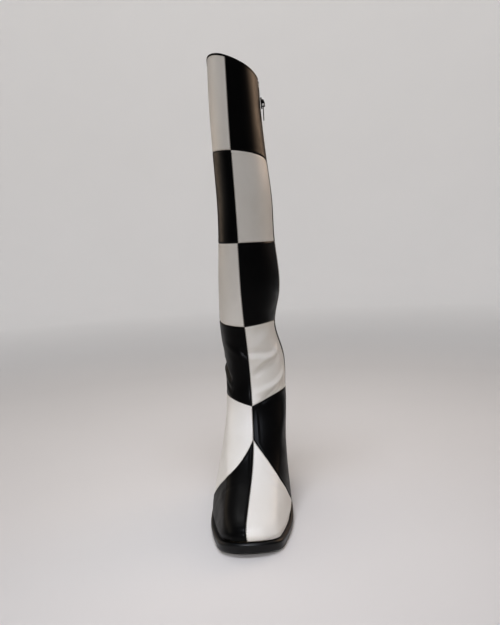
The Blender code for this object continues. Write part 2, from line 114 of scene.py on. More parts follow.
# %% Sections of the upper
SECTION_COLUMNS = (
    "front_x front_y front_z back_x back_y back_z "
    "tip_lat tip_med fore_lat fore_med aft_lat aft_med heel cap hug cant"
)
Section = namedtuple("Section", SECTION_COLUMNS)
SECTIONS = (
    Section(-4.5, -211, 15, 2, 45, 69.9, -27, 24, -45.0, 39.0, -33, 30, 28, 17, 1.00, 0),
    Section(-5, -213, 21, 2, 48, 82, -28, 25, -46.5, 40.5, -36, 33.5, 30.5, 18, 0.95, 0),
    Section(-5.2, -209.5, 27, 2, 49, 92, -26.5, 23, -42.5, 39.0, -36, 35.5, 31.5, 20, 0.80, 0),
    Section(-4.5, -190, 34.5, 2, 48.5, 102, -23, 18, -36.5, 37.0, -35, 36.5, 31.5, 26, 0.55, 0),
    Section(-2, -154, 48, 2, 47, 112, -22, 19, -34.0, 36.7, -33.5, 37, 31, 34, 0.25, 0),
    Section(0.5, -122, 66, 2, 44, 122, -25, 25, -32.7, 37.5, -32, 38.5, 30, 38, 0.10, 0),
    Section(1.3, -97, 87, 2.5, 41, 133, -29, 34, -31.6, 38.7, -31, 39.0, 28, 42, 0.00, 0),
    Section(0.5, -70, 116, 2.5, 38, 148, -31.6, 39.6, -31.6, 39.6, -31.5, 38.5, 27, 48, 0.00, 0),
    Section(-1, -61, 160, 2, 38, 174, -33.5, 39.4, -33.5, 39.4, -33, 38, 27, 50, 0.00, 0),
    Section(-3.5, -60, 201, 1, 43, 206, -36.3, 30.4, -36.3, 30.4, -36.3, 30.4, 27, 50, 0.00, 0),
    Section(-5.4, -61.5, 239, 1, 50, 240, -36.2, 37.0, -36.2, 37.0, -36.2, 37.0, 30, 54, 0.00, 0),
    Section(-6.2, -64, 304, 1, 60, 304, -33.4, 34.4, -33.4, 34.4, -33.4, 34.4, 30, 58, 0.00, 0),
    Section(-7, -65, 355, 0, 64, 354, -32.6, 34.2, -32.6, 34.2, -32.6, 34.2, 30, 60, 0.00, 2),
    Section(-8.3, -66, 407, -1, 66, 404, -34.2, 30, -34.2, 30, -34.2, 30, 30, 60, 0.00, 5),
    Section(-9.2, -66, 510, -4, 66, 500, -35.2, 24.5, -35.2, 24.5, -35.2, 24.5, 28, 60, 0.00, 11),
)
STATIONS = (0.0, 0.42, 0.68, 1.0)
BACK_ROUNDING = 1.15
SoleTop = namedtuple("SoleTop", "y z")
SOLE_TOP = (
    SoleTop(-215, 15.9),
    SoleTop(-190, 11.2),
    SoleTop(-160, 9.3),
    SoleTop(-125, 9.8),
    SoleTop(-92, 20.0),
    SoleTop(-55, 43.0),
    SoleTop(-18, 63.0),
    SoleTop(15, 68.0),
    SoleTop(48, 70.0),
)
SideSeam = namedtuple("SideSeam", "z y")
SIDE_SEAM = (
    SideSeam(0, -15),
    SideSeam(110, -8),
    SideSeam(210, -6),
    SideSeam(300, 0),
    SideSeam(520, 0),
)
print(len(SECTIONS), "sections from z", SECTIONS[0].front_z, "to", SECTIONS[-1].front_z, "mm")


# %% Curves through the sections
def spline(knots, values):
    """A natural cubic spline through the values at the knots, as a function."""
    x = np.asarray(knots, float)
    y = np.asarray(values, float)
    last = len(x) - 1
    step = np.diff(x)
    matrix = np.eye(last + 1)
    target = np.zeros_like(y)
    for i in range(1, last):
        matrix[i, i - 1 : i + 2] = step[i - 1], 2 * (step[i - 1] + step[i]), step[i]
        target[i] = 6 * ((y[i + 1] - y[i]) / step[i] - (y[i] - y[i - 1]) / step[i - 1])
    bend = np.linalg.solve(matrix, target)

    def at(q):
        q = np.asarray(q, float)
        i = np.clip(np.searchsorted(x, q) - 1, 0, last - 1)
        d = step[i]
        a = (x[i + 1] - q) / d
        b = (q - x[i]) / d
        if y.ndim > 1:
            d, a, b = d[..., None], a[..., None], b[..., None]
        curve = (a**3 - a) * bend[i] + (b**3 - b) * bend[i + 1]
        return a * y[i] + b * y[i + 1] + d * d / 6 * curve

    return at


sole_top = spline([p.y for p in SOLE_TOP], [p.z for p in SOLE_TOP])
END_STRETCH = 1.5


def rounded(distance, depth):
    """Share of the full width at a distance from a round end. It flows into the sides without a bend."""
    e = np.clip(distance / (END_STRETCH * depth), 0, 1)
    return np.sqrt(1 - (1 - e) ** 3)


def outline(section, steps):
    """The lateral and the medial edge of a section, front to back, as two arrays of points."""
    q = Section(*section)
    s = (1 - np.cos(np.pi * np.linspace(0, 1, steps))) / 2
    length = q.back_y - q.front_y
    y = q.front_y + s * length
    axis = q.front_x + (q.back_x - q.front_x) * s
    ends = rounded(s * length, q.cap) * rounded((1 - s) * length, BACK_ROUNDING * q.heel)
    rise = s
    hug = max(0.0, q.hug)
    if hug > 0:
        low, high = sole_top(q.front_y), sole_top(q.back_y)
        rise = (1 - hug) * s + hug * (sole_top(y) - low) / (high - low)
    z = q.front_z + (q.back_z - q.front_z) * rise
    half = 0.5 * (q.fore_med - q.fore_lat)
    edges = []
    for widths in (
        (q.tip_lat, q.fore_lat, q.aft_lat, q.back_x - q.heel),
        (q.tip_med, q.fore_med, q.aft_med, q.back_x + q.heel),
    ):
        x = axis + (spline(STATIONS, widths)(s) - axis) * ends
        edges.append(np.stack([x, y, z + q.cant * (axis - x) / half], 1))
    return edges


def section_heights():
    """How far up the shell each section lies: the mean of the front's and the back's climb."""
    heights = [0.0]
    for a, b in zip(SECTIONS, SECTIONS[1:]):
        front = math.dist((a.front_y, a.front_z), (b.front_y, b.front_z))
        back = math.dist((a.back_y, a.back_z), (b.back_y, b.back_z))
        heights.append(heights[-1] + 0.5 * (front + back))
    return heights


HEIGHTS = section_heights()
section_at = spline(HEIGHTS, SECTIONS)
print("the shell climbs", round(HEIGHTS[-1], 1), "mm from feather edge to collar")

# %% [markdown]
# ## A fine map of the skin
# The skin is cut at many levels, and each level is measured from the front seam to the side seam and on to
# the centre back. That gives four quarters, lateral and medial, front and back. The medial side seam is the
# zip's slot, so its two edges stand apart there. Later cells ask for points by share of a quarter's width
# and by level, and a fine table answers faster and more evenly than a subdivided cage would.

# %% Levels and edges
LEVEL_STEP = 0.4
EDGE_STEPS = 500
ZIP_SLOT = 6.4
ZIP_MOUTH = 15.0
ZIP_FOOT_SECTION = 5
SLIDER_HEIGHT = 467.0
LATERAL, MEDIAL = -1, 1
LEVELS = np.linspace(0, HEIGHTS[-1], int(HEIGHTS[-1] / LEVEL_STEP) + 1)
SkinEdge = namedtuple("SkinEdge", "points run side half whole")


def slot_width(z):
    """The zip's slot: even up to the slider, then opening towards the collar."""
    share = np.clip((z - SLIDER_HEIGHT) / (SECTIONS[-1].back_z - SLIDER_HEIGHT), 0, 1)
    return ZIP_SLOT + (ZIP_MOUTH - ZIP_SLOT) * share


def arc_lengths(points):
    """The length of a path up to each of its points."""
    return np.concatenate([[0.0], np.cumsum(np.linalg.norm(np.diff(points, axis=0), axis=1))])


def between(places, knots, points):
    """Points at these places, straight between the points that are known at the knots."""
    return np.stack([np.interp(places, knots, points[:, k]) for k in range(3)], -1)


def side_seam_y(z):
    """How far forward or back the side seam runs at a height."""
    return np.interp(z, [p.z for p in SIDE_SEAM], [p.y for p in SIDE_SEAM])


def measured_edge(points, level, sign):
    """An edge of one level with its arc lengths: to the side seam, half the slot there, to the back."""
    run = arc_lengths(points)
    side = np.interp(0.0, points[:, 1] - side_seam_y(points[:, 2]), run)
    half = 0.0
    if sign == MEDIAL:
        reach = (level - HEIGHTS[ZIP_FOOT_SECTION]) / (0.5 * ZIP_SLOT)
        half = 0.5 * slot_width(np.interp(side, run, points[:, 2])) * rounded(max(reach, 0.0), 1.0)
    return SkinEdge(points, run, side, half, run[-1])


EDGES = {LATERAL: [], MEDIAL: []}
for level in LEVELS:
    for sign, points in zip(EDGES, outline(section_at(level), EDGE_STEPS)):
        EDGES[sign].append(measured_edge(points, level, sign))
print(len(LEVELS), "levels; quarter widths at the collar:", [round(EDGES[s][-1].side, 1) for s in EDGES])


# %% Points and normals of a quarter
Patch = namedtuple("Patch", "points normals arcs")


def skin_patch(sign, places):
    """The skin of one side, level by level, at the arc lengths that places gives for each edge."""
    points = []
    arcs = []
    for edge in EDGES[sign]:
        lengths = places(edge)
        points.append(between(lengths, edge.run, edge.points))
        arcs.append(sign * lengths)
    points = np.array(points)
    normals = sign * np.cross(np.gradient(points, axis=1), np.gradient(points, axis=0))
    normals /= np.linalg.norm(normals, axis=2)[..., None]
    return Patch(points, normals, np.array(arcs))


def quarter_patch(sign, zone, shares):
    """One quarter at these shares of its width. zone is front or back."""
    if zone == "front":
        return skin_patch(sign, lambda edge: (edge.side - edge.half) * shares)
    return skin_patch(
        sign, lambda edge: edge.side + edge.half + (edge.whole - edge.side - edge.half) * shares
    )


def at_levels(values, levels):
    """Values of a patch, column by column, at an array of levels (rows by columns)."""
    place = np.clip(levels / (LEVELS[1] - LEVELS[0]), 0, len(LEVELS) - 1.001)
    low = place.astype(int)
    share = place - low
    column = np.arange(values.shape[1])[None, :]
    if values.ndim == 3:
        share = share[..., None]
    return values[low, column] * (1 - share) + values[low + 1, column] * share


probe = quarter_patch(MEDIAL, "front", np.linspace(0, 1, 5))
print("outward normal at the middle of the medial front:", probe.normals[len(LEVELS) // 2, 2].round(2))

# %% [markdown]
# ## Where the seams run
# Four lines round the leg divide the shaft into rows of panels, and the vamp is cut off by a seam that
# climbs from the sole beside the ball to a point at the throat. On the leg a line is given by its height at
# the front seam, at the two side seams and at the back, and by how far its front part bows up between
# them. The vamp's seam is a curve through a few places, each a share of the quarter's width and a level.
# Drawing the seams as a texture would blur at the edges, so every seam is an edge between two panels.

# %% Seam lines
PanelLine = namedtuple("PanelLine", "name front lateral medial back lateral_bow medial_bow")
PANEL_LINES = (
    PanelLine("line1", 407.5, 412.0, 398.7, 403.0, 0.0, 0.0),
    PanelLine("line2", 304.0, 304.5, 303.5, 304.0, 0.0, 0.0),
    PanelLine("line3", 207.6, 211.0, 208.0, 210.0, 0.5, 2.0),
    PanelLine("line4", 117.0, 121.0, 126.0, 140.0, 4.8, 6.3),
)
SeamPlace = namedtuple("SeamPlace", "share level")
VAMP_SEAM = {
    LATERAL: (
        SeamPlace(0.0, 102.3),
        SeamPlace(0.06, 90.4),
        SeamPlace(0.12, 78.6),
        SeamPlace(0.26, 56.0),
        SeamPlace(0.42, 34.5),
        SeamPlace(0.54, 15.5),
        SeamPlace(0.61, 0.0),
    ),
    MEDIAL: (
        SeamPlace(0.0, 102.3),
        SeamPlace(0.08, 90.4),
        SeamPlace(0.17, 74.6),
        SeamPlace(0.31, 48.8),
        SeamPlace(0.44, 26.6),
        SeamPlace(0.52, 11.6),
        SeamPlace(0.575, 0.0),
    ),
}


def line_levels(line, patch, sign, zone, shares):
    """The level of a panel line in each column of a patch."""
    side, bow = (line.lateral, line.lateral_bow) if sign == LATERAL else (line.medial, line.medial_bow)
    if zone == "front":
        heights = line.front + (side - line.front) * shares + 4 * bow * shares * (1 - shares)
    else:
        heights = side + (line.back - side) * shares
    return np.array([np.interp(h, patch.points[:, j, 2], LEVELS) for j, h in enumerate(heights)])


def vamp_levels(sign, shares):
    """The level of the vamp seam at these shares of the front quarter's width."""
    places = VAMP_SEAM[sign]
    return np.clip(spline([p.share for p in places], [p.level for p in places])(shares), 0.0, None)


VAMP_CORNER = {sign: places[-1].share for sign, places in VAMP_SEAM.items()}
print("the vamp reaches round to shares", VAMP_CORNER)

# %% [markdown]
# ## Folds at the ankle
# A worn boot folds where the foot bends. Each main fold of this boot is listed: a path over the
# skin, given by its distance round from the front seam (lateral is negative) and its height, with how far
# it lifts the leather and how wide it is. A trough has a negative lift. Cloth simulation would also wrinkle
# a shaft, but these folds have known places, so they are drawn.

# %% Fold table
Fold = namedtuple("Fold", "name lift width path")
FOLDS = (
    Fold("medial top ridge", 0.9, 5.0, ((3, 181), (17, 189), (31, 196), (44, 200))),
    Fold("medial top trough", -0.6, 5.0, ((8, 197), (20, 202), (32, 205))),
    Fold("medial first trough", -2.2, 3.6, ((-1, 178), (14, 178), (29, 176), (40, 178))),
    Fold("medial first ridge", 1.8, 3.5, ((0, 170), (10, 170.5), (25, 170), (36, 171.5))),
    Fold(
        "medial hooked ridge", 2.2, 3.0,
        ((54, 182), (46, 177), (37, 172), (24, 168.5), (14, 165), (8, 161)),
    ),
    Fold(
        "medial second trough", -3.1, 3.7,
        ((46, 169), (36, 167), (26, 164), (17, 159.5), (9, 154), (4, 150)),
    ),
    Fold("medial broad swell", 0.9, 9.0, ((50, 158), (34, 149), (14, 143))),
    Fold(
        "medial lower ridge", 3.3, 3.5,
        ((58, 155), (52, 149.5), (43, 143.5), (31, 138), (16, 133.5), (3, 130)),
    ),
    Fold(
        "medial lower trough", -3.2, 3.4,
        ((58, 146), (50, 140), (38, 134), (25, 128), (15, 123), (8, 119)),
    ),
    Fold("lateral side fold", -2.9, 4.0, ((-84, 159), (-60, 160), (-50, 155), (-40, 149), (-28, 144))),
    Fold(
        "lateral swell under the fold", 1.3, 4.4,
        ((-82, 151), (-60, 152.5), (-49, 147), (-39, 141), (-28, 137)),
    ),
    Fold("lateral hollow over the fold", -1.0, 9.0, ((-84, 172), (-60, 172), (-42, 168), (-26, 160))),
    Fold(
        "lateral soft ridge", 0.8, 4.0,
        ((-40, 187), (-30, 185), (-19, 180), (-11, 175), (-8, 166), (-7, 158)),
    ),
    Fold("lateral second trough", -1.1, 3.4, ((-64, 145), (-48, 140), (-38, 134), (-28, 130))),
    Fold("lateral second ridge", 1.0, 3.6, ((-64, 138), (-46, 133), (-36, 129), (-24, 127))),
    Fold("dent beside the seam", -1.0, 2.2, ((-10, 182), (-5, 178), (0, 171))),
    Fold("lateral crease over line three", -0.5, 5.0, ((-64, 226), (-44, 220), (-20, 224))),
    Fold("medial crease over line three", -0.5, 5.0, ((62, 224), (44, 221), (20, 226))),
    Fold("throat ridge beside the seam", 0.5, 1.6, ((4, 113), (4.8, 103), (5.4, 92), (6, 82))),
    Fold("back tendon fold", -1.6, 5.0, ((-128, 160), (-112, 158), (-96, 165))),
    Fold("back tendon fold, medial", -1.6, 5.0, ((128, 163), (116, 160), (104, 168))),
    Fold("back upper fold", -1.2, 6.0, ((-130, 190), (-110, 186), (-92, 194))),
    Fold("back upper fold, medial", -1.2, 6.0, ((130, 192), (116, 188), (104, 196))),
    Fold("vamp ridge beside the seam", 0.8, 1.1, ((-2.4, 90), (-2.4, 74), (-2.4, 58), (-2.6, 44))),
    Fold("flex crease of the vamp", -0.4, 3.0, ((6, 54), (30, 49), (60, 42), (84, 37))),
    Fold("second flex crease of the vamp", -0.35, 2.6, ((10, 63), (26, 58), (44, 51), (62, 47))),
    Fold("lateral flex crease", -0.3, 3.5, ((-10, 52), (-40, 46), (-70, 39))),
)
FOLD_SAMPLES = 30
MAP_SHARES = np.linspace(0, 1, 140)
MAPS = {sign: [quarter_patch(sign, zone, MAP_SHARES) for zone in ("front", "back")] for sign in EDGES}


def skin_place(arc, z):
    """The point of the skin at a distance round from the front seam and a height."""
    best = None
    for patch in MAPS[LATERAL if arc < 0 else MEDIAL]:
        miss = (patch.arcs - arc) ** 2 + (patch.points[..., 2] - z) ** 2
        nearest = np.unravel_index(np.argmin(miss), miss.shape)
        if best is None or miss[nearest] < best[0]:
            best = (miss[nearest], patch.points[nearest])
    return best[1]


def fold_path(fold):
    """Points along a fold, on the skin."""
    knots = np.linspace(0, 1, len(fold.path))
    places = spline(knots, np.array(fold.path, float))(np.linspace(0, 1, FOLD_SAMPLES))
    path = np.array([skin_place(arc, z) for arc, z in places])
    path[1:-1] = 0.25 * path[:-2] + 0.5 * path[1:-1] + 0.25 * path[2:]
    return path


FOLD_PATHS = [fold_path(fold) for fold in FOLDS]
print(len(FOLDS), "folds, up to", max(abs(fold.lift) for fold in FOLDS), "mm")


# %% Distance to a path, and the lift of all folds
def path_distance(points, path):
    """Distance of each point to a polyline, and the share along it of the nearest place."""
    flat = points.reshape(-1, 3)
    nearest = np.full(len(flat), np.inf)
    share = np.zeros(len(flat))
    for i, (a, b) in enumerate(zip(path, path[1:])):
        run = b - a
        t = np.clip((flat - a) @ run / max(run @ run, 1e-12), 0, 1)
        miss = np.linalg.norm(flat - a - t[:, None] * run, axis=1)
        closer = miss < nearest
        nearest[closer] = miss[closer]
        share[closer] = (i + t[closer]) / (len(path) - 1)
    return nearest.reshape(points.shape[:-1]), share.reshape(points.shape[:-1])


FOLD_TAPER = 0.6
WAVE_HEIGHT, WAVE_PHASE = 0.35, 1.0
WAVE_LENGTH_UP, WAVE_DRIFT_UP = 130.0, 520.0
WAVE_LENGTH_ROUND, WAVE_DRIFT_ROUND = 75.0, 225.0
WAVE_RAMP = (200.0, 260.0)
ZIP_RAMP = (5.0, 18.0)
TOE_PULL, TOE_AXIS = 2.3, -4.0
TOE_PULL_HEIGHT = (8.0, 28.0)
TOE_PULL_FLANK = (12.0, 30.0)
TOE_PULL_ALONG = (-100.0, -150.0)


def ramp(values, start, end):
    """From 0 at start to 1 at end, with soft ends."""
    share = np.clip((values - start) / (end - start), 0, 1)
    return share * share * (3 - 2 * share)


def fold_lift(points, arcs):
    """How far folds and slack move the skin out, in mm. Over the ledge of the toe it is pulled in."""
    x, y, z = (points[..., k] for k in range(3))
    lift = np.zeros(points.shape[:-1])
    for fold, path in zip(FOLDS, FOLD_PATHS):
        distance, share = path_distance(points, path)
        lift += fold.lift * np.exp(-((distance / fold.width) ** 2)) * np.sin(np.pi * share) ** FOLD_TAPER
    lift *= np.where(x > 0, ramp(np.abs(y - side_seam_y(z)), *ZIP_RAMP), 1.0)
    up = np.sin(2 * np.pi * (z / WAVE_LENGTH_UP + arcs / WAVE_DRIFT_ROUND))
    around = np.sin(2 * np.pi * (arcs / WAVE_LENGTH_ROUND - z / WAVE_DRIFT_UP) + WAVE_PHASE)
    slack = WAVE_HEIGHT * ramp(z, *WAVE_RAMP) * up * around
    low = 1 - ramp(z - sole_top(y), *TOE_PULL_HEIGHT)
    pull = TOE_PULL * low * ramp(np.abs(x - TOE_AXIS), *TOE_PULL_FLANK) * ramp(y, *TOE_PULL_ALONG)
    return lift + slack - pull


deepest = min(range(len(FOLDS)), key=lambda i: FOLDS[i].lift)
print("the deepest fold is the", FOLDS[deepest].name)

# %% [markdown]
# ## Leather of the panels
# The panels are smooth corrected-grain leather: split hide, sanded, coated with a coloured film and pressed
# by hot rollers. To the eye that is an even colour with a soft sheen, a very fine grain and a slightly
# uneven gloss. The film is a clear coat over a rougher base, which the Principled shader has as its own
# layer. The grain cells are about 0.9 mm across on the hide; they are drawn 1.6 mm wide here, because finer
# ones vanish in a picture of the whole boot. In the groove of each seam the colour is painted darker:
# painted shade, with some soiling on the white. Each panel carries its distance to the seam, in millimetres,
# for that.

# %% Leather materials
GRAIN_MM = 1.6
TONE_PATCH_MM = 45.0
GLOSS_PATCH_MM = 14.0
# Within these millimetres of a seam the colour is mixed towards the darker seam colour, up to this share:
# painted shade in the groove, with some soiling.
SEAM_SHADE_AND_DIRT_MM, SEAM_SHADE_AND_DIRT_SHARE = (0.2, 1.1), 0.5
GLOSS_NOISE, GLOSS_SWING = (0.3, 0.7), (-0.05, 0.07)
PORE_DEPTH_MM = 0.15


def smooth_leather(name, colour, worn_colour, seam_shade_and_dirt_colour, gloss_level, roughness, coat, grain):
    """Smooth coated leather. worn_colour drifts through it in wide patches; the seam colour darkens the seam
    grooves as painted shade and soiling.
    """
    made, tree, shader = new_material(
        name,
        {"Specular IOR Level": gloss_level, "Coat Weight": coat, "Coat Roughness": 0.2, "Coat IOR": 1.45},
    )
    place = add_node(tree, "ShaderNodeTexCoord").outputs["Object"]
    patches = add_node(
        tree, "ShaderNodeTexNoise", {"Scale": 1 / (TONE_PATCH_MM * MM), "Detail": 3.0}, {"Vector": place}
    )
    tone = add_node(
        tree,
        "ShaderNodeMix",
        {"data_type": "RGBA", 6: linear(colour), 7: linear(worn_colour)},
        {0: patches.outputs["Fac"]},
    )
    seam = add_node(tree, "ShaderNodeAttribute", {"attribute_name": "seam_mm"})
    # The share of the darker seam colour: painted shade and soiling, strongest in the seam's groove.
    seam_shade_and_dirt = add_node(
        tree,
        "ShaderNodeMapRange",
        {
            "From Min": SEAM_SHADE_AND_DIRT_MM[0],
            "From Max": SEAM_SHADE_AND_DIRT_MM[1],
            "To Min": SEAM_SHADE_AND_DIRT_SHARE,
            "To Max": 0.0,
        },
        {"Value": seam.outputs["Fac"]},
    )
    lined = add_node(
        tree,
        "ShaderNodeMix",
        {"data_type": "RGBA", 7: linear(seam_shade_and_dirt_colour)},
        {0: seam_shade_and_dirt.outputs["Result"], 6: tone.outputs[2]},
    )
    tree.links.new(lined.outputs[2], shader.inputs["Base Color"])
    gloss = add_node(
        tree, "ShaderNodeTexNoise", {"Scale": 1 / (GLOSS_PATCH_MM * MM), "Detail": 4.0}, {"Vector": place}
    )
    rough = add_node(
        tree,
        "ShaderNodeMapRange",
        {
            "From Min": GLOSS_NOISE[0],
            "From Max": GLOSS_NOISE[1],
            "To Min": roughness + GLOSS_SWING[0],
            "To Max": roughness + GLOSS_SWING[1],
        },
        {"Value": gloss.outputs["Fac"]},
    )
    tree.links.new(rough.outputs["Result"], shader.inputs["Roughness"])
    cells = add_node(
        tree,
        "ShaderNodeTexVoronoi",
        {"feature": "SMOOTH_F1", "Scale": 1 / (GRAIN_MM * MM), "Smoothness": 0.6},
        {"Vector": place},
    )
    pores = add_node(
        tree,
        "ShaderNodeBump",
        {"Strength": grain, "Distance": PORE_DEPTH_MM * MM},
        {"Height": cells.outputs["Distance"]},
    )
    tree.links.new(pores.outputs["Normal"], shader.inputs["Normal"])
    return made


# Off-white film shows a soft wide sheen; in the seams a warm grey line is painted, as shade and as soiling.
WHITE_LEATHER = smooth_leather(
    "off_white_smooth_leather",
    "#dad6cf",
    "#cdc8bf",
    "#8d8377",
    gloss_level=0.4,
    roughness=0.42,
    coat=0.08,
    grain=0.22,
)
# Black film gives almost no colour back, so its form is seen by the bands of light on the coat.
BLACK_LEATHER = smooth_leather(
    "black_smooth_leather",
    "#080808",
    "#0b0a0a",
    # A darker black painted into the seam grooves, as shade.
    "#030303",
    gloss_level=0.06,
    roughness=0.36,
    coat=0.1,
    grain=0.18,
)
print("leathers:", WHITE_LEATHER.name, BLACK_LEATHER.name)

# %% [markdown]
# ## Cutting and closing the panels
# A panel is a grid of points between two level lines of one quarter. Its rows and columns crowd towards the
# seams, because that is where the leather turns down into the stitching: a narrow groove at the edge, and a
# low welt over the folded allowance behind it. At the sole the leather tucks under, and along the zip it is
# folded to a round edge. Every panel is its own object, one millimetre thick, as cut.

# %% Panel grids
EDGE_GRADES = (0.0, 0.35, 0.8, 1.4, 2.1, 3.0, 4.2)
GRID_STEP = 1.7
SHAFT_QUARTER = 85.0
LEATHER_THICKNESS = 1.0


def graded(length):
    """Shares of a length, crowded towards both ends, where the seams are."""
    fine = np.array(EDGE_GRADES)
    count = max(2, int(round((length - 2 * fine[-1]) / GRID_STEP)))
    middle = np.linspace(fine[-1], length - fine[-1], count + 1)[1:]
    return np.concatenate([fine, middle, length - fine[-2::-1]]) / length


SEAM_GROOVE, SEAM_GROOVE_WIDTH = 0.45, 0.65
WELT_HEIGHT, WELT_PLACE, WELT_WIDTH = 0.14, 2.6, 1.3
TUCK_DEPTH, TUCK_HEIGHT = 1.1, 2.6
FEATHER_ROOM, FEATHER_FLARE = 1.2, 0.45
FOLDED_EDGE, FOLDED_EDGE_WIDTH = 0.7, 1.3


def seam_profile(distance):
    groove = -SEAM_GROOVE * np.exp(-((distance / SEAM_GROOVE_WIDTH) ** 2))
    return groove + WELT_HEIGHT * np.exp(-(((distance - WELT_PLACE) / WELT_WIDTH) ** 2))


def tuck_profile(distance):
    return -TUCK_DEPTH * np.clip(1 - distance / TUCK_HEIGHT, 0, 1) ** 2


def folded_profile(distance):
    return -FOLDED_EDGE * np.clip(1 - distance / FOLDED_EDGE_WIDTH, 0, 1) ** 2


PROFILES = {"seam": seam_profile, "tuck": tuck_profile, "fold": folded_profile}
print("columns over a quarter of the shaft:", len(graded(SHAFT_QUARTER)))


# %% Meshes from grids
MERGE_DISTANCE = 0.002 * MM
FAR_FROM_SEAM = 50.0


def cleaned(mesh, turn_outward=False):
    """The mesh without doubled points, shaded smooth."""
    bm = bmesh.new()
    bm.from_mesh(mesh)
    bmesh.ops.remove_doubles(bm, verts=bm.verts, dist=MERGE_DISTANCE)
    bmesh.ops.dissolve_degenerate(bm, edges=bm.edges, dist=MERGE_DISTANCE)
    if turn_outward:
        bmesh.ops.recalc_face_normals(bm, faces=bm.faces)
    bm.to_mesh(mesh)
    bm.free()
    mesh.shade_smooth()
    return mesh


def sheet_mesh(name, points, outward, attributes=None):
    """A mesh of quads over a grid of points in millimetres, facing outward, with point attributes."""
    rows, columns = points.shape[:2]
    index = np.arange(rows * columns).reshape(rows, columns)
    quads = np.stack([index[:-1, :-1], index[:-1, 1:], index[1:, 1:], index[1:, :-1]], 2).reshape(-1, 4)
    a, b, c = (points.reshape(-1, 3)[quads[:, k]] for k in (0, 1, 3))
    facing = np.einsum("ij,ij->i", np.cross(b - a, c - a), outward.reshape(-1, 3)[quads[:, 0]])
    if facing.sum() < 0:
        quads = quads[:, ::-1]
    mesh = bpy.data.meshes.new(name)
    mesh.from_pydata((points.reshape(-1, 3) * MM).tolist(), [], quads.tolist())
    for label, values in (attributes or {}).items():
        layer = mesh.attributes.new(label, "FLOAT", "POINT")
        layer.data.foreach_set("value", values.reshape(-1).astype(np.float32))
    return cleaned(mesh)


def add_piece(name, mesh, material, body, slot, stands_for=()):
    """A new object that rides on a body of the boot and stands for these solids."""
    made = bpy.data.objects.new(name, mesh)
    bpy.context.scene.collection.objects.link(made)
    mesh.materials.append(material)
    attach(made, body)
    if stands_for:
        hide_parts(*stands_for)
    return made


def thicken(piece, thickness):
    """Give a sheet its thickness, inwards."""
    wall = piece.modifiers.new("thickness", "SOLIDIFY")
    wall.thickness = thickness * MM
    wall.offset = -1.0
    wall.use_even_offset = False


def dressed(points, normals, arcs, edges):
    """A grid lifted by the folds and turned down at its edges, and its distance to the seams."""
    lift = fold_lift(points, arcs)
    seam_distance = np.full(points.shape[:-1], FAR_FROM_SEAM)
    for kind, path in edges:
        distance, _ = path_distance(points, path)
        lift += PROFILES[kind](distance)
        if kind == "tuck":
            lift = np.maximum(lift, -FEATHER_ROOM - FEATHER_FLARE * distance)
        if kind == "seam":
            seam_distance = np.minimum(seam_distance, distance)
    return points + lift[..., None] * normals, seam_distance


print("a sheet is built from its grid, and a piece rides on a body")


# %% Shaft panels
ROW_NAMES = ("row1", "row2", "row3", "row4")
WHITE_AT_FRONT = {LATERAL: (True, False, True, False), MEDIAL: (False, True, False, True)}
SIDE_NAMES = {LATERAL: "lateral", MEDIAL: "medial"}
COLLAR_LEVEL = HEIGHTS[-1]


def panel_colour(white):
    return (WHITE_LEATHER, "leather_white") if white else (BLACK_LEATHER, "leather_black")


def make_panel(name, patch, low, high, row_shares, kinds, white):
    """One panel between two level lines. kinds names its edges: low, high, first column, last column."""
    levels = low[None, :] + (high - low)[None, :] * row_shares[:, None]
    points = at_levels(patch.points, levels)
    normals = at_levels(patch.normals, levels)
    normals /= np.linalg.norm(normals, axis=2)[..., None]
    arcs = at_levels(patch.arcs, levels)
    paths = (points[0], points[-1], points[:, 0], points[:, -1])
    edges = [(kind, path) for kind, path in zip(kinds, paths) if kind]
    skin, seam_distance = dressed(points, normals, arcs, edges)
    material, slot = panel_colour(white)
    mesh = sheet_mesh(name, skin, normals, {"seam_mm": seam_distance})
    piece = add_piece(name, mesh, material, "boot", slot, ["upper"])
    thicken(piece, LEATHER_THICKNESS)
    return piece


panels = []
for sign in EDGES:
    for zone in ("front", "back"):
        shares = graded(SHAFT_QUARTER)
        patch = quarter_patch(sign, zone, shares)
        lines = [np.full(len(shares), COLLAR_LEVEL)]
        lines += [line_levels(line, patch, sign, zone, shares) for line in PANEL_LINES]
        side_kind = "fold" if sign == MEDIAL else "seam"
        column_kinds = ("seam", side_kind) if zone == "front" else (side_kind, "seam")
        for row, row_name in enumerate(ROW_NAMES):
            top_kind = None if row == 0 else "seam"
            white = WHITE_AT_FRONT[sign][row] == (zone == "front")
            height = float(np.mean(lines[row] - lines[row + 1]))
            name = f"{row_name}_{SIDE_NAMES[sign]}_{zone}"
            kinds = ("seam", top_kind, *column_kinds)
            panels.append(make_panel(name, patch, lines[row + 1], lines[row], graded(height), kinds, white))
print(len(panels), "shaft panels,", sum(len(p.data.polygons) for p in panels), "quads")

# %% [markdown]
# ## Quarters and vamp
# Below line four the quarters run down to the sole, and in front of them the two halves of the vamp close
# over the toes. The vamp's grid follows the columns of the front quarter from the feather edge up to its
# seam, so it narrows to a corner beside the ball, just as the leather piece does.

# %% Foot panels
QUARTER_WIDTH, VAMP_WIDTH = 110.0, 110.0
QUARTER_ROWS, VAMP_ROWS = 95.0, 130.0
FEATHER = 0.0


def foot_shares(sign):
    """Column shares of a front quarter, with one column where the vamp seam meets the sole."""
    corner = VAMP_CORNER[sign]
    vamp = corner * graded(VAMP_WIDTH)
    rest = corner + (1 - corner) * graded(QUARTER_WIDTH)
    return vamp, rest


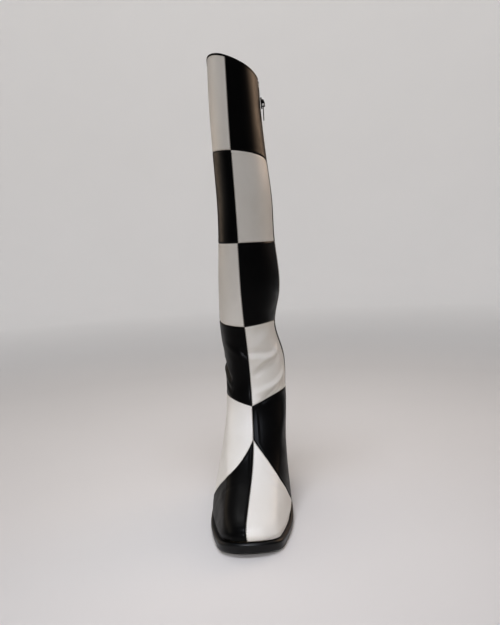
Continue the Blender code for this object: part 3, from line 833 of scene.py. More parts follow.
foot_panels = []
for sign in EDGES:
    side = SIDE_NAMES[sign]
    vamp_part, rest_part = foot_shares(sign)
    vamp_patch = quarter_patch(sign, "front", vamp_part)
    vamp_top = vamp_levels(sign, vamp_part)
    vamp_top[-1] = FEATHER
    feather = np.full(len(vamp_part), FEATHER)
    vamp_kinds = ("tuck", "seam", "seam", None)
    rows = graded(VAMP_ROWS)
    foot_panels.append(
        make_panel(f"vamp_{side}", vamp_patch, feather, vamp_top, rows, vamp_kinds, sign == MEDIAL)
    )
    shares = np.concatenate([vamp_part, rest_part[1:]])
    patch = quarter_patch(sign, "front", shares)
    low = np.concatenate([vamp_top, np.full(len(rest_part) - 1, FEATHER)])
    high = line_levels(PANEL_LINES[-1], patch, sign, "front", shares)
    side_kind = "fold" if sign == MEDIAL else "seam"
    kinds = ("seam", "seam", "seam", side_kind)
    foot_panels.append(
        make_panel(f"quarter_{side}_front", patch, low, high, graded(QUARTER_ROWS), kinds, sign == LATERAL)
    )
    shares = graded(QUARTER_WIDTH)
    patch = quarter_patch(sign, "back", shares)
    high = line_levels(PANEL_LINES[-1], patch, sign, "back", shares)
    kinds = ("tuck", "seam", side_kind, "seam")
    low = np.full(len(shares), FEATHER)
    foot_panels.append(
        make_panel(f"quarter_{side}_back", patch, low, high, graded(QUARTER_ROWS), kinds, sign == MEDIAL)
    )
print(len(foot_panels), "foot panels,", sum(len(p.data.polygons) for p in foot_panels), "quads")

# %% [markdown]
# ## Lining and collar
# Inside, a thin pigskin lining is pasted to the leather and closes the top line. The lining repeats the
# skin a little further in, with the same folds, so that nothing pokes through it. The raw edges at the
# collar are covered by a narrow black binding, turned over and stitched down; it is a small profile swept
# round the top line, from one side of the zip to the other.

# %% Lining
PASTE_GAP = 0.1
LINING_INSET = LEATHER_THICKNESS + PASTE_GAP
LINING_THICKNESS = 0.6
LINING_START = 4.0
LINING_COLUMNS, LINING_ROWS = 36, 170
PIGSKIN_PORE_MM = 1.2

# Pigskin, tanned and shaved thin, is matt with open pores. They are drawn a little coarse, to show.
PIGSKIN, pigskin_tree, pigskin_shader = new_material(
    "taupe_pigskin_lining", {"Base Color": linear("#8a7a68"), "Roughness": 0.7, "IOR": 1.45}
)
add_relief(
    pigskin_tree,
    pigskin_shader,
    "ShaderNodeTexVoronoi",
    "Distance",
    {"Scale": 1 / (PIGSKIN_PORE_MM * MM)},
    strength=0.4,
    depth_mm=0.2,
)

for sign in EDGES:
    for zone in ("front", "back"):
        patch = quarter_patch(sign, zone, np.linspace(0, 1, LINING_COLUMNS))
        rows = np.linspace(LINING_START, COLLAR_LEVEL, LINING_ROWS)
        levels = np.repeat(rows[:, None], LINING_COLUMNS, axis=1)
        points = at_levels(patch.points, levels)
        normals = at_levels(patch.normals, levels)
        lift = fold_lift(points, at_levels(patch.arcs, levels)) - LINING_INSET
        name = f"lining_{SIDE_NAMES[sign]}_{zone}"
        mesh = sheet_mesh(name, points + lift[..., None] * normals, normals)
        thicken(add_piece(name, mesh, PIGSKIN, "boot", "lining", ["upper"]), LINING_THICKNESS)
print("lining in four quarters")

# %% Collar binding
BINDING_PROFILE = (
    (0.05, -1.7),
    (0.32, -1.5),
    (0.42, -1.0),
    (0.42, -0.2),
    (0.25, 0.35),
    (-0.25, 0.65),
    (-0.9, 0.75),
    (-1.5, 0.65),
    (-2.0, 0.35),
    (-2.2, -0.2),
    (-2.2, -3.5),
    (-1.8, -3.8),
)
BINDING_MIDDLE = (-0.9, -1.5)
COLLAR_COLUMNS = 90


def collar_path():
    """Points and outward normals of the top line, from the zip's front edge round to its back edge."""
    shares = np.linspace(0, 1, COLLAR_COLUMNS)
    points = []
    normals = []
    for sign, zone, turned in (
        (MEDIAL, "front", True),
        (LATERAL, "front", False),
        (LATERAL, "back", False),
        (MEDIAL, "back", True),
    ):
        patch = quarter_patch(sign, zone, shares)
        lift = fold_lift(patch.points[-1], patch.arcs[-1])
        row = patch.points[-1] + lift[:, None] * patch.normals[-1]
        order = slice(None, None, -1) if turned else slice(None)
        points.append(row[order][1 if points else 0 :])
        normals.append(patch.normals[-1][order][1 if len(normals) else 0 :])
    return np.concatenate(points), np.concatenate(normals)


top_line, top_normals = collar_path()
flat_normals = top_normals * np.array([1.0, 1.0, 0.0])
flat_normals /= np.linalg.norm(flat_normals, axis=1)[:, None]
upright = np.array([0.0, 0.0, 1.0])
profile_steps = np.array(BINDING_PROFILE)
binding_grid = (
    top_line[:, None, :]
    + profile_steps[None, :, :1] * flat_normals[:, None, :]
    + profile_steps[None, :, 1:] * upright
)
away = profile_steps - np.array(BINDING_MIDDLE)
binding_out = away[None, :, :1] * flat_normals[:, None, :] + away[None, :, 1:] * upright
binding_mesh = sheet_mesh("collar_binding", binding_grid, binding_out)
add_piece("collar_binding", binding_mesh, BLACK_LEATHER, "boot", "leather_black", ["upper"])
print("collar binding round", len(top_line), "points")

# %% [markdown]
# ## Stitches and zip teeth
# Thread and zip teeth are many copies of one small rounded bar. Each bar is placed by its middle, the way
# it lies and the way it faces, and all bars of a row are joined in one mesh, which keeps the scene light.
# A particle system could scatter them too, but then their spacing would not follow the seam.


# %% Rows of small bars
BAR_SIDES = 8
BAR_END = ((0.5, 1.0), (0.75, 0.88), (0.92, 0.55), (1.0, 0.0))
BAR_RINGS = [(-place, size) for place, size in BAR_END[::-1]] + list(BAR_END)


def bars_mesh(name, middles, along, facing, length, width, height):
    """One mesh of rounded bars. along and facing give each bar's long axis and outward side."""
    along = along / np.linalg.norm(along, axis=1)[:, None]
    across = np.cross(facing, along)
    across /= np.linalg.norm(across, axis=1)[:, None]
    facing = np.cross(along, across)
    template = []
    for place, size in BAR_RINGS:
        for angle in 2 * np.pi * np.arange(BAR_SIDES) / BAR_SIDES:
            template.append((place, size * math.cos(angle), size * math.sin(angle)))
    template = 0.5 * np.array(template) * np.array([length, width, height])
    frames = np.stack([along, across, facing], 1)
    points = middles[:, None, :] + np.einsum("tk,nkc->ntc", template, frames)
    quads = []
    for ring in range(len(BAR_RINGS) - 1):
        for side in range(BAR_SIDES):
            a = ring * BAR_SIDES + side
            b = ring * BAR_SIDES + (side + 1) % BAR_SIDES
            quads.append((a, b, b + BAR_SIDES, a + BAR_SIDES))
    quads = np.array(quads)
    count = len(template)
    faces = (quads[None, :, :] + count * np.arange(len(middles))[:, None, None]).reshape(-1, 4)
    mesh = bpy.data.meshes.new(name)
    mesh.from_pydata((points.reshape(-1, 3) * MM).tolist(), [], faces.tolist())
    return cleaned(mesh, turn_outward=True)


DIRECTION_REACH = 0.4


def spaced(path, normals, pitch, start=0.0):
    """Places every pitch along a path: points, directions and normals there."""
    run = arc_lengths(path)
    stops = np.arange(start, run[-1], pitch)
    ahead = between(stops + DIRECTION_REACH, run, path)
    behind = between(stops - DIRECTION_REACH, run, path)
    return between(stops, run, path), ahead - behind, between(stops, run, normals)


# Thread twisted from polyester and bonded with resin is a dull cord. Its twist is drawn coarse, to show.
THREAD, thread_tree, thread_shader = new_material(
    "bonded_polyester_thread", {"Base Color": linear("#121110"), "Roughness": 0.55}
)
THREAD_TWIST_MM = 0.6
add_relief(
    thread_tree,
    thread_shader,
    "ShaderNodeTexWave",
    "Fac",
    {"Scale": WAVE_BAND / (THREAD_TWIST_MM * MM), "bands_direction": "DIAGONAL"},
    strength=0.5,
    depth_mm=0.1,
)
print("bars of", BAR_SIDES, "sides")

# %% Stitches beside the zip
ZIP_STITCH_FROM_EDGE = 2.4
STITCH_PITCH, STITCH_LENGTH, STITCH_WIDTH, STITCH_HEIGHT = 3.2, 2.5, 0.62, 0.5
STITCH_RAISE, STITCH_END_ROOM = 0.05, 2.0
ZIP_FOOT_LEVEL = HEIGHTS[ZIP_FOOT_SECTION]
NEIGHBOURS = np.array([-0.6, 0.0, 0.6])


def dressed_line(sign, places, low_level, high_level, raise_by):
    """A line up the skin at one arc length per level, lifted with the folds: points and normals."""
    patch = skin_patch(sign, lambda edge: places(edge) + NEIGHBOURS)
    keep = (LEVELS >= low_level) & (LEVELS <= high_level)
    points = patch.points[keep, 1]
    normals = patch.normals[keep, 1]
    lift = fold_lift(points, patch.arcs[keep, 1]) + raise_by
    return points + lift[:, None] * normals, normals


STITCH_LINES = (
    ("zip_stitches_front", lambda edge: edge.side - edge.half - ZIP_STITCH_FROM_EDGE),
    ("zip_stitches_back", lambda edge: edge.side + edge.half + ZIP_STITCH_FROM_EDGE),
)
for name, places in STITCH_LINES:
    last_level = COLLAR_LEVEL - STITCH_END_ROOM
    line, normals = dressed_line(MEDIAL, places, ZIP_FOOT_LEVEL, last_level, STITCH_RAISE)
    middles, along, facing = spaced(line, normals, STITCH_PITCH, STITCH_PITCH)
    mesh = bars_mesh(name, middles, along, facing, STITCH_LENGTH, STITCH_WIDTH, STITCH_HEIGHT)
    add_piece(name, mesh, THREAD, "boot", "leather_black", ["upper"])
    print(name, len(middles), "stitches")

# %% Closing stitches in the front seam
SEAM_STITCH_ARC, SEAM_STITCH_SINK = 0.55, 0.12
SEAM_STITCH_PITCH, SEAM_STITCH_LENGTH, SEAM_STITCH_SIZE = 2.7, 1.3, 0.6
both_edges = np.array([0.0, 1.0])
front_patch = quarter_patch(LATERAL, "front", both_edges)
front_levels = [COLLAR_LEVEL]
front_levels += [line_levels(line, front_patch, LATERAL, "front", both_edges)[0] for line in PANEL_LINES]
front_levels += [VAMP_SEAM[LATERAL][0].level, TUCK_HEIGHT]
FRONT_NAMES = (*ROW_NAMES, "quarter", "vamp")
for row, (top, bottom) in enumerate(zip(front_levels, front_levels[1:])):
    white_side = MEDIAL if row % 2 else LATERAL
    low, high = bottom + STITCH_END_ROOM, top - STITCH_END_ROOM
    line, normals = dressed_line(white_side, lambda edge: SEAM_STITCH_ARC, low, high, -SEAM_STITCH_SINK)
    middles, along, facing = spaced(line, normals, SEAM_STITCH_PITCH)
    name = f"seam_stitches_{FRONT_NAMES[row]}"
    mesh = bars_mesh(name, middles, along, facing, SEAM_STITCH_LENGTH, SEAM_STITCH_SIZE, SEAM_STITCH_SIZE)
    add_piece(name, mesh, THREAD, "boot", "leather_black", ["upper"])
    print(name, len(middles), "stitches")

# %% [markdown]
# ## The zip
# The zip is a nylon coil zip: two woven tapes, each with a coil of black nylon along its edge. Below the
# slider the coils mesh in the middle of the slot, and above it they part with the tapes. The frame's tapes
# stay and get a woven finish. Each turn of a coil shows as a short bar across the slot.

# %% Zip tape and teeth
TOOTH_PITCH = 1.3
TOOTH_LENGTH, TOOTH_WIDTH, TOOTH_HEIGHT = 2.7, 0.9, 2.0
TOOTH_SINK, TOOTH_OVERLAP = 0.55, 0.35
TAPE_THREAD_MM = 0.9
COIL_FOOT_ROOM, COLLAR_CLEARANCE = 2.5, 9.0

# Woven tape is matt, with a fuzz that catches light at its edges. Its threads are drawn coarse, to show.
ZIP_CLOTH, cloth_tree, cloth_shader = new_material(
    "woven_polyester_tape", {"Base Color": linear("#131313"), "Roughness": 0.85, "Sheen Weight": 0.2}
)
add_relief(
    cloth_tree,
    cloth_shader,
    "ShaderNodeTexWave",
    "Fac",
    {"Scale": WAVE_BAND / (TAPE_THREAD_MM * MM), "bands_direction": "Z"},
    strength=0.7,
    depth_mm=0.2,
)
# Nylon drawn and set in a mould is smooth, so each turn of the coil has one small highlight.
ZIP_NYLON, _, _ = new_material(
    "moulded_black_nylon", {"Base Color": linear("#0f0f10"), "Roughness": 0.32}
)


def finish_node(name, material):
    """Give a solid of the frame its finish."""
    for slot in bpy.data.objects[name].material_slots:
        slot.material = material


finish_node("zip_tape_front", ZIP_CLOTH)
finish_node("zip_tape_back", ZIP_CLOTH)


def coil(name, side):
    """The turns of one coil, as far as the collar. side is -1 for the front tape and 1 for the back."""
    reach = 0.5 * TOOTH_LENGTH - TOOTH_OVERLAP

    def places(edge):
        parted = 0.0 if edge.half == 0 else max(edge.half - 0.5 * ZIP_SLOT, 0.0)
        return edge.side + side * (parted + reach)

    low, high = ZIP_FOOT_LEVEL + COIL_FOOT_ROOM, COLLAR_LEVEL - COLLAR_CLEARANCE
    line, normals = dressed_line(MEDIAL, places, low, high, -TOOTH_SINK)
    start = 0.5 * TOOTH_PITCH if side > 0 else 0.0
    middles, up, facing = spaced(line, normals, TOOTH_PITCH, start)
    across = np.cross(facing, up)
    mesh = bars_mesh(name, middles, across, facing, TOOTH_LENGTH, TOOTH_WIDTH, TOOTH_HEIGHT)
    add_piece(name, mesh, ZIP_NYLON, "boot", "zip_teeth", ["zip_chain"])
    return len(middles)


print("turns:", coil("zip_coil_front", -1), coil("zip_coil_back", 1))

# %% [markdown]
# ## Slider and pull tab
# The slider is die-cast zinc with black enamel baked on: a small shield with rounded edges and a bail over
# it, closed above by the lock's cover and open below, where the pull tab swings. Shield, bail and tab are
# thin plates with a hole or a shaped outline, so they are drawn as flat curves with a depth and a bevel and
# then turned into meshes. The tab rides on its own body, with its bar in the bail's eye.

# %% Slider
SLIDER_LENGTH, SLIDER_WIDTH, SLIDER_PLATE, SLIDER_STANDOFF = 13.0, 8.6, 1.6, 0.31
CHAIN_PROUD, CHAIN_ROOM = 0.4, 0.3
SLIDER_FACE = CHAIN_PROUD + CHAIN_ROOM + SLIDER_PLATE
SHIELD_SHOULDER, SHIELD_WAIST, SHIELD_CORNER = 0.15, 0.72, 1.6
EDGE_SOFTNESS, BEVEL_STEPS, PLATE_SHARP_DEGREES = 0.3, 3, 50

# Enamel baked on cast zinc covers the metal with a hard gloss, seen as sharp glints on the edges.
ENAMELLED_ZINC, _, _ = new_material(
    "black_enamelled_zinc", {"Base Color": linear("#070707"), "Roughness": 0.24, "Coat Weight": 0.3}
)


def plate_mesh(name, outlines, thickness):
    """A flat plate with soft edges from outlines in its own plane: the rim first, then any holes."""
    data = bpy.data.curves.new(name, "CURVE")
    data.dimensions = "2D"
    data.fill_mode = "BOTH"
    data.extrude = (0.5 * thickness - EDGE_SOFTNESS) * MM
    data.bevel_depth = EDGE_SOFTNESS * MM
    data.offset = -EDGE_SOFTNESS * MM
    data.bevel_resolution = BEVEL_STEPS
    for points in outlines:
        line = data.splines.new("POLY")
        line.points.add(len(points) - 1)
        for point, (x, y) in zip(line.points, points):
            point.co = (x * MM, y * MM, 0, 1)
        line.use_cyclic_u = True
    shape = bpy.data.objects.new(name, data)
    mesh = bpy.data.meshes.new_from_object(shape)
    bpy.data.objects.remove(shape)
    bpy.data.curves.remove(data)
    mesh.name = name
    mesh.shade_smooth()
    mesh.set_sharp_from_angle(angle=math.radians(PLATE_SHARP_DEGREES))
    return mesh


def round_corners(corners, radius, steps=6):
    """A closed outline with each corner rounded."""
    points = []
    count = len(corners)
    for i in range(count):
        here = np.array(corners[i], float)
        before = np.array(corners[i - 1], float) - here
        after = np.array(corners[(i + 1) % count], float) - here
        before /= np.linalg.norm(before)
        after /= np.linalg.norm(after)
        for t in np.linspace(0, 1, steps):
            pull_in = (1 - t) ** 2 * radius * before + t**2 * radius * after
            points.append(tuple(here + pull_in))
    return points


def mirrored(right):
    """A closed outline from its right half, which is listed from the top down."""
    left = [(-x, y) for x, y in right]
    return [left[0], *right, *left[:0:-1]]


zip_middle = np.array([between(edge.side, edge.run, edge.points) for edge in EDGES[MEDIAL]])


def zip_point(z):
    return between(z, zip_middle[:, 2], zip_middle)


slider_low = zip_point(SLIDER_HEIGHT - 0.5 * SLIDER_LENGTH)
slider_high = zip_point(SLIDER_HEIGHT + 0.5 * SLIDER_LENGTH)
slider_lean = math.atan2(slider_high[0] - slider_low[0], slider_high[2] - slider_low[2])
slider_foot = Vector(zip_point(SLIDER_HEIGHT)) + Vector((SLIDER_STANDOFF, 0, 0))
slider_seat = Matrix.Translation(slider_foot * MM) @ Matrix.Rotation(slider_lean, 4, "Y")
PLATE_TO_SIDE = Matrix(((0, 0, 1, 0), (1, 0, 0, 0), (0, 1, 0, 0), (0, 0, 0, 1)))

half_width, half_length = 0.5 * SLIDER_WIDTH, 0.5 * SLIDER_LENGTH
shield_right = (
    (half_width, half_length),
    (half_width, SHIELD_SHOULDER * half_length),
    (SHIELD_WAIST * half_width, -half_length),
)
shield = round_corners(mirrored(shield_right), SHIELD_CORNER)
shield_mesh = plate_mesh("zip_slider_shield", [shield], SLIDER_PLATE)
shield_middle = Vector((SLIDER_FACE - 0.5 * SLIDER_PLATE, 0, 0)) * MM
shield_mesh.transform(Matrix.Translation(shield_middle) @ PLATE_TO_SIDE)
shield_mesh.transform(slider_seat)
add_piece("zip_slider_shield", shield_mesh, ENAMELLED_ZINC, "boot", "zip_metal", ["zip_slider"])
print("slider leans", round(math.degrees(slider_lean), 1), "degrees")

# %% Bail of the slider
BAIL_GAP, BAIL_BAR, BAIL_WIDTH, BAIL_SPAN = 2.2, 1.0, 1.6, 9.0
BAIL_ROOT, BAIL_SHOULDER, BAIL_CROWN, BAIL_CORNER = 0.5, 0.6, 1.8, 1.0
BAIL_EYE_ROOT, BAIL_EYE_FOOT, BAIL_EYE_TOP, BAIL_EYE_CORNER = 0.2, 1.2, -0.5, 0.6
bail_half = 0.5 * BAIL_SPAN
bail_outer = round_corners(
    (
        (SLIDER_FACE - BAIL_ROOT, -bail_half),
        (SLIDER_FACE + BAIL_GAP + BAIL_BAR, -bail_half),
        (SLIDER_FACE + BAIL_GAP + BAIL_BAR, BAIL_SHOULDER),
        (SLIDER_FACE + BAIL_CROWN, bail_half),
        (SLIDER_FACE - BAIL_ROOT, bail_half),
    ),
    BAIL_CORNER,
)
bail_inner = round_corners(
    (
        (SLIDER_FACE - BAIL_EYE_ROOT, -bail_half + BAIL_EYE_FOOT),
        (SLIDER_FACE + BAIL_GAP, -bail_half + BAIL_EYE_FOOT),
        (SLIDER_FACE + BAIL_GAP, BAIL_EYE_TOP),
        (SLIDER_FACE - BAIL_EYE_ROOT, BAIL_EYE_TOP),
    ),
    BAIL_EYE_CORNER,
)
bail_mesh = plate_mesh("zip_slider_bail", [bail_outer, bail_inner], BAIL_WIDTH)
BAIL_TO_SIDE = Matrix(((1, 0, 0, 0), (0, 0, -1, 0), (0, 1, 0, 0), (0, 0, 0, 1)))
bail_mesh.transform(slider_seat @ BAIL_TO_SIDE)
add_piece("zip_slider_bail", bail_mesh, ENAMELLED_ZINC, "boot", "zip_metal", ["zip_slider"])
print("bail", len(bail_mesh.polygons), "faces")

# %% Pull tab
PULL_LENGTH, PULL_WIDTH, PULL_THICKNESS, PULL_BAR = 19.0, 6.0, 1.0, 1.4
PULL_NECK, PULL_SHOULDER, PULL_CORNER = 0.8, 0.55, 1.3
PULL_HOLE_WIDTH, PULL_HOLE_LENGTH, PULL_HOLE_CORNER = 3.2, 4.0, 0.8
AXIS_POST, SWING_ROOM = 1.4, 0.3
swing_clearance = math.hypot(0.5 * PULL_BAR, 0.5 * PULL_THICKNESS) + SWING_ROOM
in_bail = Vector((SLIDER_FACE + 0.5 * BAIL_GAP, 0, -bail_half + AXIS_POST + swing_clearance)) * MM
pull_axis = slider_seat @ in_bail
top = 0.5 * PULL_BAR
half_pull = 0.5 * PULL_WIDTH
rim_right = (
    (PULL_NECK * half_pull, top),
    (half_pull, top - PULL_SHOULDER * PULL_LENGTH),
    (half_pull, top - PULL_LENGTH),
)
rim = round_corners(mirrored(rim_right), PULL_CORNER)
eye_half = 0.5 * PULL_HOLE_WIDTH
eye_right = ((eye_half, -top), (eye_half, -top - PULL_HOLE_LENGTH))
eye = round_corners(mirrored(eye_right), PULL_HOLE_CORNER)
pull_mesh = plate_mesh("zip_pull_tab", [rim, eye], PULL_THICKNESS)
pull_mesh.transform(Matrix.Translation(pull_axis) @ PLATE_TO_SIDE)
add_piece("zip_pull_tab", pull_mesh, ENAMELLED_ZINC, "pull_tab", "zip_metal", ["zip_pull"])
print("pull tab swings about", [round(c, 5) for c in pull_axis])

# %% [markdown]
# ## Sole, heel and insock
# The sole is one moulding of black rubber: a square toe, a ledge round the foot, toe spring and a thin
# waist. The heel is a block under the heel seat with a rubber top piece. They are stacks of rings, like
# contour lines, drawn with far more points than the frame's solids and with rounded arrises, because a
# black edge is seen only by the thin highlight along it.

# %% Rubber and heel finishes
RUBBER_SPECKLE_MM = 0.8
TREAD_RIB_MM = 4.0
UNDERSIDE_FACING = (-0.95, -0.8)
# Rubber takes the fine grit of its steel mould, which gives an even satin, and ribs on the tread alone.
# The grit is drawn coarser than it is, to show.
RUBBER, rubber_tree, rubber_shader = new_material(
    "moulded_black_rubber",
    {"Base Color": linear("#060607"), "Roughness": 0.35, "Specular IOR Level": 0.42},
)
rubber_place = add_node(rubber_tree, "ShaderNodeTexCoord").outputs["Object"]
rubber_speckle = add_node(
    rubber_tree, "ShaderNodeTexNoise", {"Scale": 1 / (RUBBER_SPECKLE_MM * MM)}, {"Vector": rubber_place}
)
rubber_bump = add_node(
    rubber_tree,
    "ShaderNodeBump",
    {"Strength": 0.12, "Distance": 0.1 * MM},
    {"Height": rubber_speckle.outputs["Fac"]},
)
rubber_normal = add_node(rubber_tree, "ShaderNodeNewGeometry").outputs["Normal"]
rubber_facing = add_node(rubber_tree, "ShaderNodeSeparateXYZ", links={"Vector": rubber_normal})
rubber_under = add_node(
    rubber_tree,
    "ShaderNodeMapRange",
    {"From Min": UNDERSIDE_FACING[0], "From Max": UNDERSIDE_FACING[1], "To Min": 1.0, "To Max": 0.0},
    {"Value": rubber_facing.outputs["Z"]},
)
rubber_ribs = add_node(
    rubber_tree,
    "ShaderNodeTexWave",
    {"Scale": WAVE_BAND / (TREAD_RIB_MM * MM), "bands_direction": "Y"},
    {"Vector": rubber_place},
)
rubber_tread = add_node(
    rubber_tree,
    "ShaderNodeMath",
    {"operation": "MULTIPLY"},
    {0: rubber_ribs.outputs["Fac"], 1: rubber_under.outputs["Result"]},
)
rubber_relief = add_node(
    rubber_tree,
    "ShaderNodeBump",
    {"Strength": 0.8, "Distance": 0.6 * MM},
    {"Height": rubber_tread.outputs["Value"], "Normal": rubber_bump.outputs["Normal"]},
)
rubber_tree.links.new(rubber_relief.outputs["Normal"], rubber_shader.inputs["Normal"])
# The heel's wrap is the same coated leather, pulled tight and polished, so it is a little glossier.
HEEL_WRAP = smooth_leather(
    "black_heel_wrap_leather",
    "#080808",
    "#0a0a0a",
    # A darker black that smooth_leather paints into seam grooves, as shade.
    "#030303",
    gloss_level=0.08,
    roughness=0.3,
    coat=0.14,
    grain=0.12,
)
print("rubber and heel wrap ready")

# %% Rings and slabs
RING_STEPS = 170
SOLE_SEAT_GAP = 0.4
FOREPART_THICKNESS, WAIST_THICKNESS = 10.4, 5.0
THINNING_START, THINNING_END = -122.0, -62.0
TREAD_BLEND = 0.8
SOLE_SHARP_DEGREES, HEEL_SHARP_DEGREES = 60, 50


def sole_bottom(y):
    """The underside: flat on the ground under the ball, sprung at the toe, thin through the waist."""
    share = ramp(y, THINNING_START, THINNING_END)
    thickness = FOREPART_THICKNESS + (WAIST_THICKNESS - FOREPART_THICKNESS) * share
    height = sole_top(y) - SOLE_SEAT_GAP - thickness
    lift = np.clip(height + TREAD_BLEND, 0, 2 * TREAD_BLEND)
    return np.where(height > TREAD_BLEND, height, lift**2 / (4 * TREAD_BLEND))


def grown(section, toe, ball, waist, heel):
    """A section whose outline is moved out by these amounts."""
    return section._replace(
        front_y=section.front_y - toe,
        back_y=section.back_y + heel,
        tip_lat=section.tip_lat - ball,
        tip_med=section.tip_med + ball,
        fore_lat=section.fore_lat - ball,
        fore_med=section.fore_med + ball,
        aft_lat=section.aft_lat - waist,
        aft_med=section.aft_med + waist,
        heel=section.heel + heel,
    )


def inset_ring(section, inset, height):
    """A section's outline moved in, as a lateral and a medial edge. height gives z for each y."""
    edges = outline(grown(section, -inset, -inset, -inset, -inset), RING_STEPS)
    return [np.stack([edge[:, 0], edge[:, 1], height(edge[:, 1])], 1) for edge in edges]


def slab_mesh(name, rings, sharp_degrees):
    """A closed slab from stacked rings. Its end faces are strips across, lateral to medial."""
    bm = bmesh.new()
    loops = []
    for lateral, medial in rings:
        points = np.concatenate([lateral, medial[-2:0:-1]])
        loops.append([bm.verts.new(p * MM) for p in points])
    count = len(loops[0])
    for low, high in zip(loops, loops[1:]):
        for j in range(count):
            k = (j + 1) % count
            bm.faces.new((low[j], low[k], high[k], high[j]))
    for loop in (loops[0], loops[-1]):
        for j in range(count // 2):
            strip = [loop[j], loop[j + 1], loop[count - j - 1], loop[-j % count]]
            bm.faces.new(list(dict.fromkeys(strip)))
    bmesh.ops.recalc_face_normals(bm, faces=bm.faces)
    mesh = bpy.data.meshes.new(name)
    bm.to_mesh(mesh)
    bm.free()
    mesh.shade_smooth()
    mesh.set_sharp_from_angle(angle=math.radians(sharp_degrees))
    return mesh


print("rings of", 2 * RING_STEPS, "points")

# %% Outsole
LEDGE_TOE, LEDGE_BALL, LEDGE_WAIST, LEDGE_HEEL = 3.0, 2.6, 1.4, 0.8
SoleEdge = namedtuple("SoleEdge", "inset depth")
SOLE_EDGE = (
    SoleEdge(2.4, 0.0),
    SoleEdge(1.7, 0.02),
    SoleEdge(0.95, 0.075),
    SoleEdge(0.35, 0.16),
    SoleEdge(0.0, 0.28),
    SoleEdge(0.1, 0.35),
    SoleEdge(0.25, 0.6),
    SoleEdge(0.45, 0.78),
    SoleEdge(0.75, 0.89),
    SoleEdge(1.2, 0.965),
    SoleEdge(1.8, 1.0),
)
sole_outline = grown(SECTIONS[0], LEDGE_TOE, LEDGE_BALL, LEDGE_WAIST, LEDGE_HEEL)


def sole_ring(edge):
    def height(y):
        top_z = sole_top(y) - SOLE_SEAT_GAP
        return top_z + (sole_bottom(y) - top_z) * edge.depth

    return inset_ring(sole_outline, edge.inset, height)


sole_rings = [sole_ring(edge) for edge in SOLE_EDGE]
outsole_mesh = slab_mesh("rubber_outsole", sole_rings, SOLE_SHARP_DEGREES)
add_piece("rubber_outsole", outsole_mesh, RUBBER, "boot", "sole_rubber", ["outsole"])
print("outsole", len(outsole_mesh.polygons), "faces")

# %% Heel and top piece
HEEL_BREAST_TOP, HEEL_BACK_TOP = -27.0, 42.5
HEEL_HALF_LENGTH_FOOT = 28.0
HEEL_HALF_WIDTH_TOP, HEEL_HALF_WIDTH_FOOT = 27.0, 25.5
HEEL_CENTRE_TOP, HEEL_CORNER = 1.5, 6.0
TOP_PIECE_THICKNESS, TOP_PIECE_GAP = 6.0, 0.3
HEEL_ROWS = 24
TOP_PIECE_EDGE = ((0.8, 0.0), (0.35, 0.2), (0.1, 0.5), (0.0, 0.9), (0.0, 5.5), (0.25, 6.0))


def heel_section(share):
    """The block heel's outline at a share of its height, from its foot (0) to the heel seat (1)."""
    half = HEEL_HALF_WIDTH_FOOT + (HEEL_HALF_WIDTH_TOP - HEEL_HALF_WIDTH_FOOT) * share
    centre = HEEL_CENTRE_TOP * share
    breast = -HEEL_HALF_LENGTH_FOOT + (HEEL_BREAST_TOP + HEEL_HALF_LENGTH_FOOT) * share
    back = HEEL_HALF_LENGTH_FOOT + (HEEL_BACK_TOP - HEEL_HALF_LENGTH_FOOT) * share
    low, high = centre - half, centre + half
    return Section(centre, breast, 0, centre, back, 0, *(low, high) * 3, half, HEEL_CORNER, 0, 0)


def heel_ring(share):
    foot = TOP_PIECE_THICKNESS + TOP_PIECE_GAP

    def height(y):
        return foot + (sole_bottom(y) - TOP_PIECE_GAP - foot) * share

    return inset_ring(heel_section(share), 0.0, height)


heel_rings = [heel_ring(share) for share in np.linspace(0, 1, HEEL_ROWS + 1)]
heel_mesh = slab_mesh("heel_block", heel_rings, HEEL_SHARP_DEGREES)
add_piece("heel_block", heel_mesh, HEEL_WRAP, "boot", "heel_black", ["heel"])
pad_rings = [
    inset_ring(heel_section(0.0), inset, lambda y, z=z: np.full_like(y, z)) for inset, z in TOP_PIECE_EDGE
]
pad_mesh = slab_mesh("heel_pad", pad_rings, SOLE_SHARP_DEGREES)
add_piece("heel_pad", pad_mesh, RUBBER, "boot", "sole_rubber", ["heel_top_piece"])
print("heel", len(heel_mesh.polygons), "faces, top piece", len(pad_mesh.polygons), "faces")

# %% Insock
# Insock leather is left nearly bare, so it is matt, warm and finely grained.
INSOCK, insock_tree, insock_shader = new_material(
    "beige_insock_leather", {"Base Color": linear("#9c8a70"), "Roughness": 0.62, "IOR": 1.45}
)
add_relief(
    insock_tree,
    insock_shader,
    "ShaderNodeTexVoronoi",
    "Distance",
    {"Scale": 1 / (GRAIN_MM * MM)},
    strength=0.3,
    depth_mm=0.2,
)
finish_node("insole", INSOCK)
print("insock finished")

# %% [markdown]
# ## Camera, light and floor
# The camera stands in front of the boot, a little above its middle, and is rolled by three degrees, so that
# the boot leans in the picture as it does in its photograph while it stands upright on the floor. A long
# lens would flatten the toe; this one is close to a normal lens. Floor and wall are one round sweep of pale
# paper, so that every side has the same quiet ground. The wall glows evenly, as paper lit from behind, and
# is left out of glossy reflections, which keeps the black leather black. The light is soft: a cool sheet
# overhead, a small card for the toe, and warm panels behind on both sides, which draw the long bands on
# the black leather. The small lights have a narrow spread, as behind a grid, and leave no pool on the floor.

# %% Camera
CAMERA_PLACE = Vector((42, -913, 316)) * MM
CAMERA_TURN = math.radians(2.6)
CAMERA_PITCH = math.radians(6.13)
CAMERA_ROLL = math.radians(-3.0)
FOCAL_PIXELS = 750.0
IMAGE_HEIGHT = 625.0
SENSOR_MM = 36.0

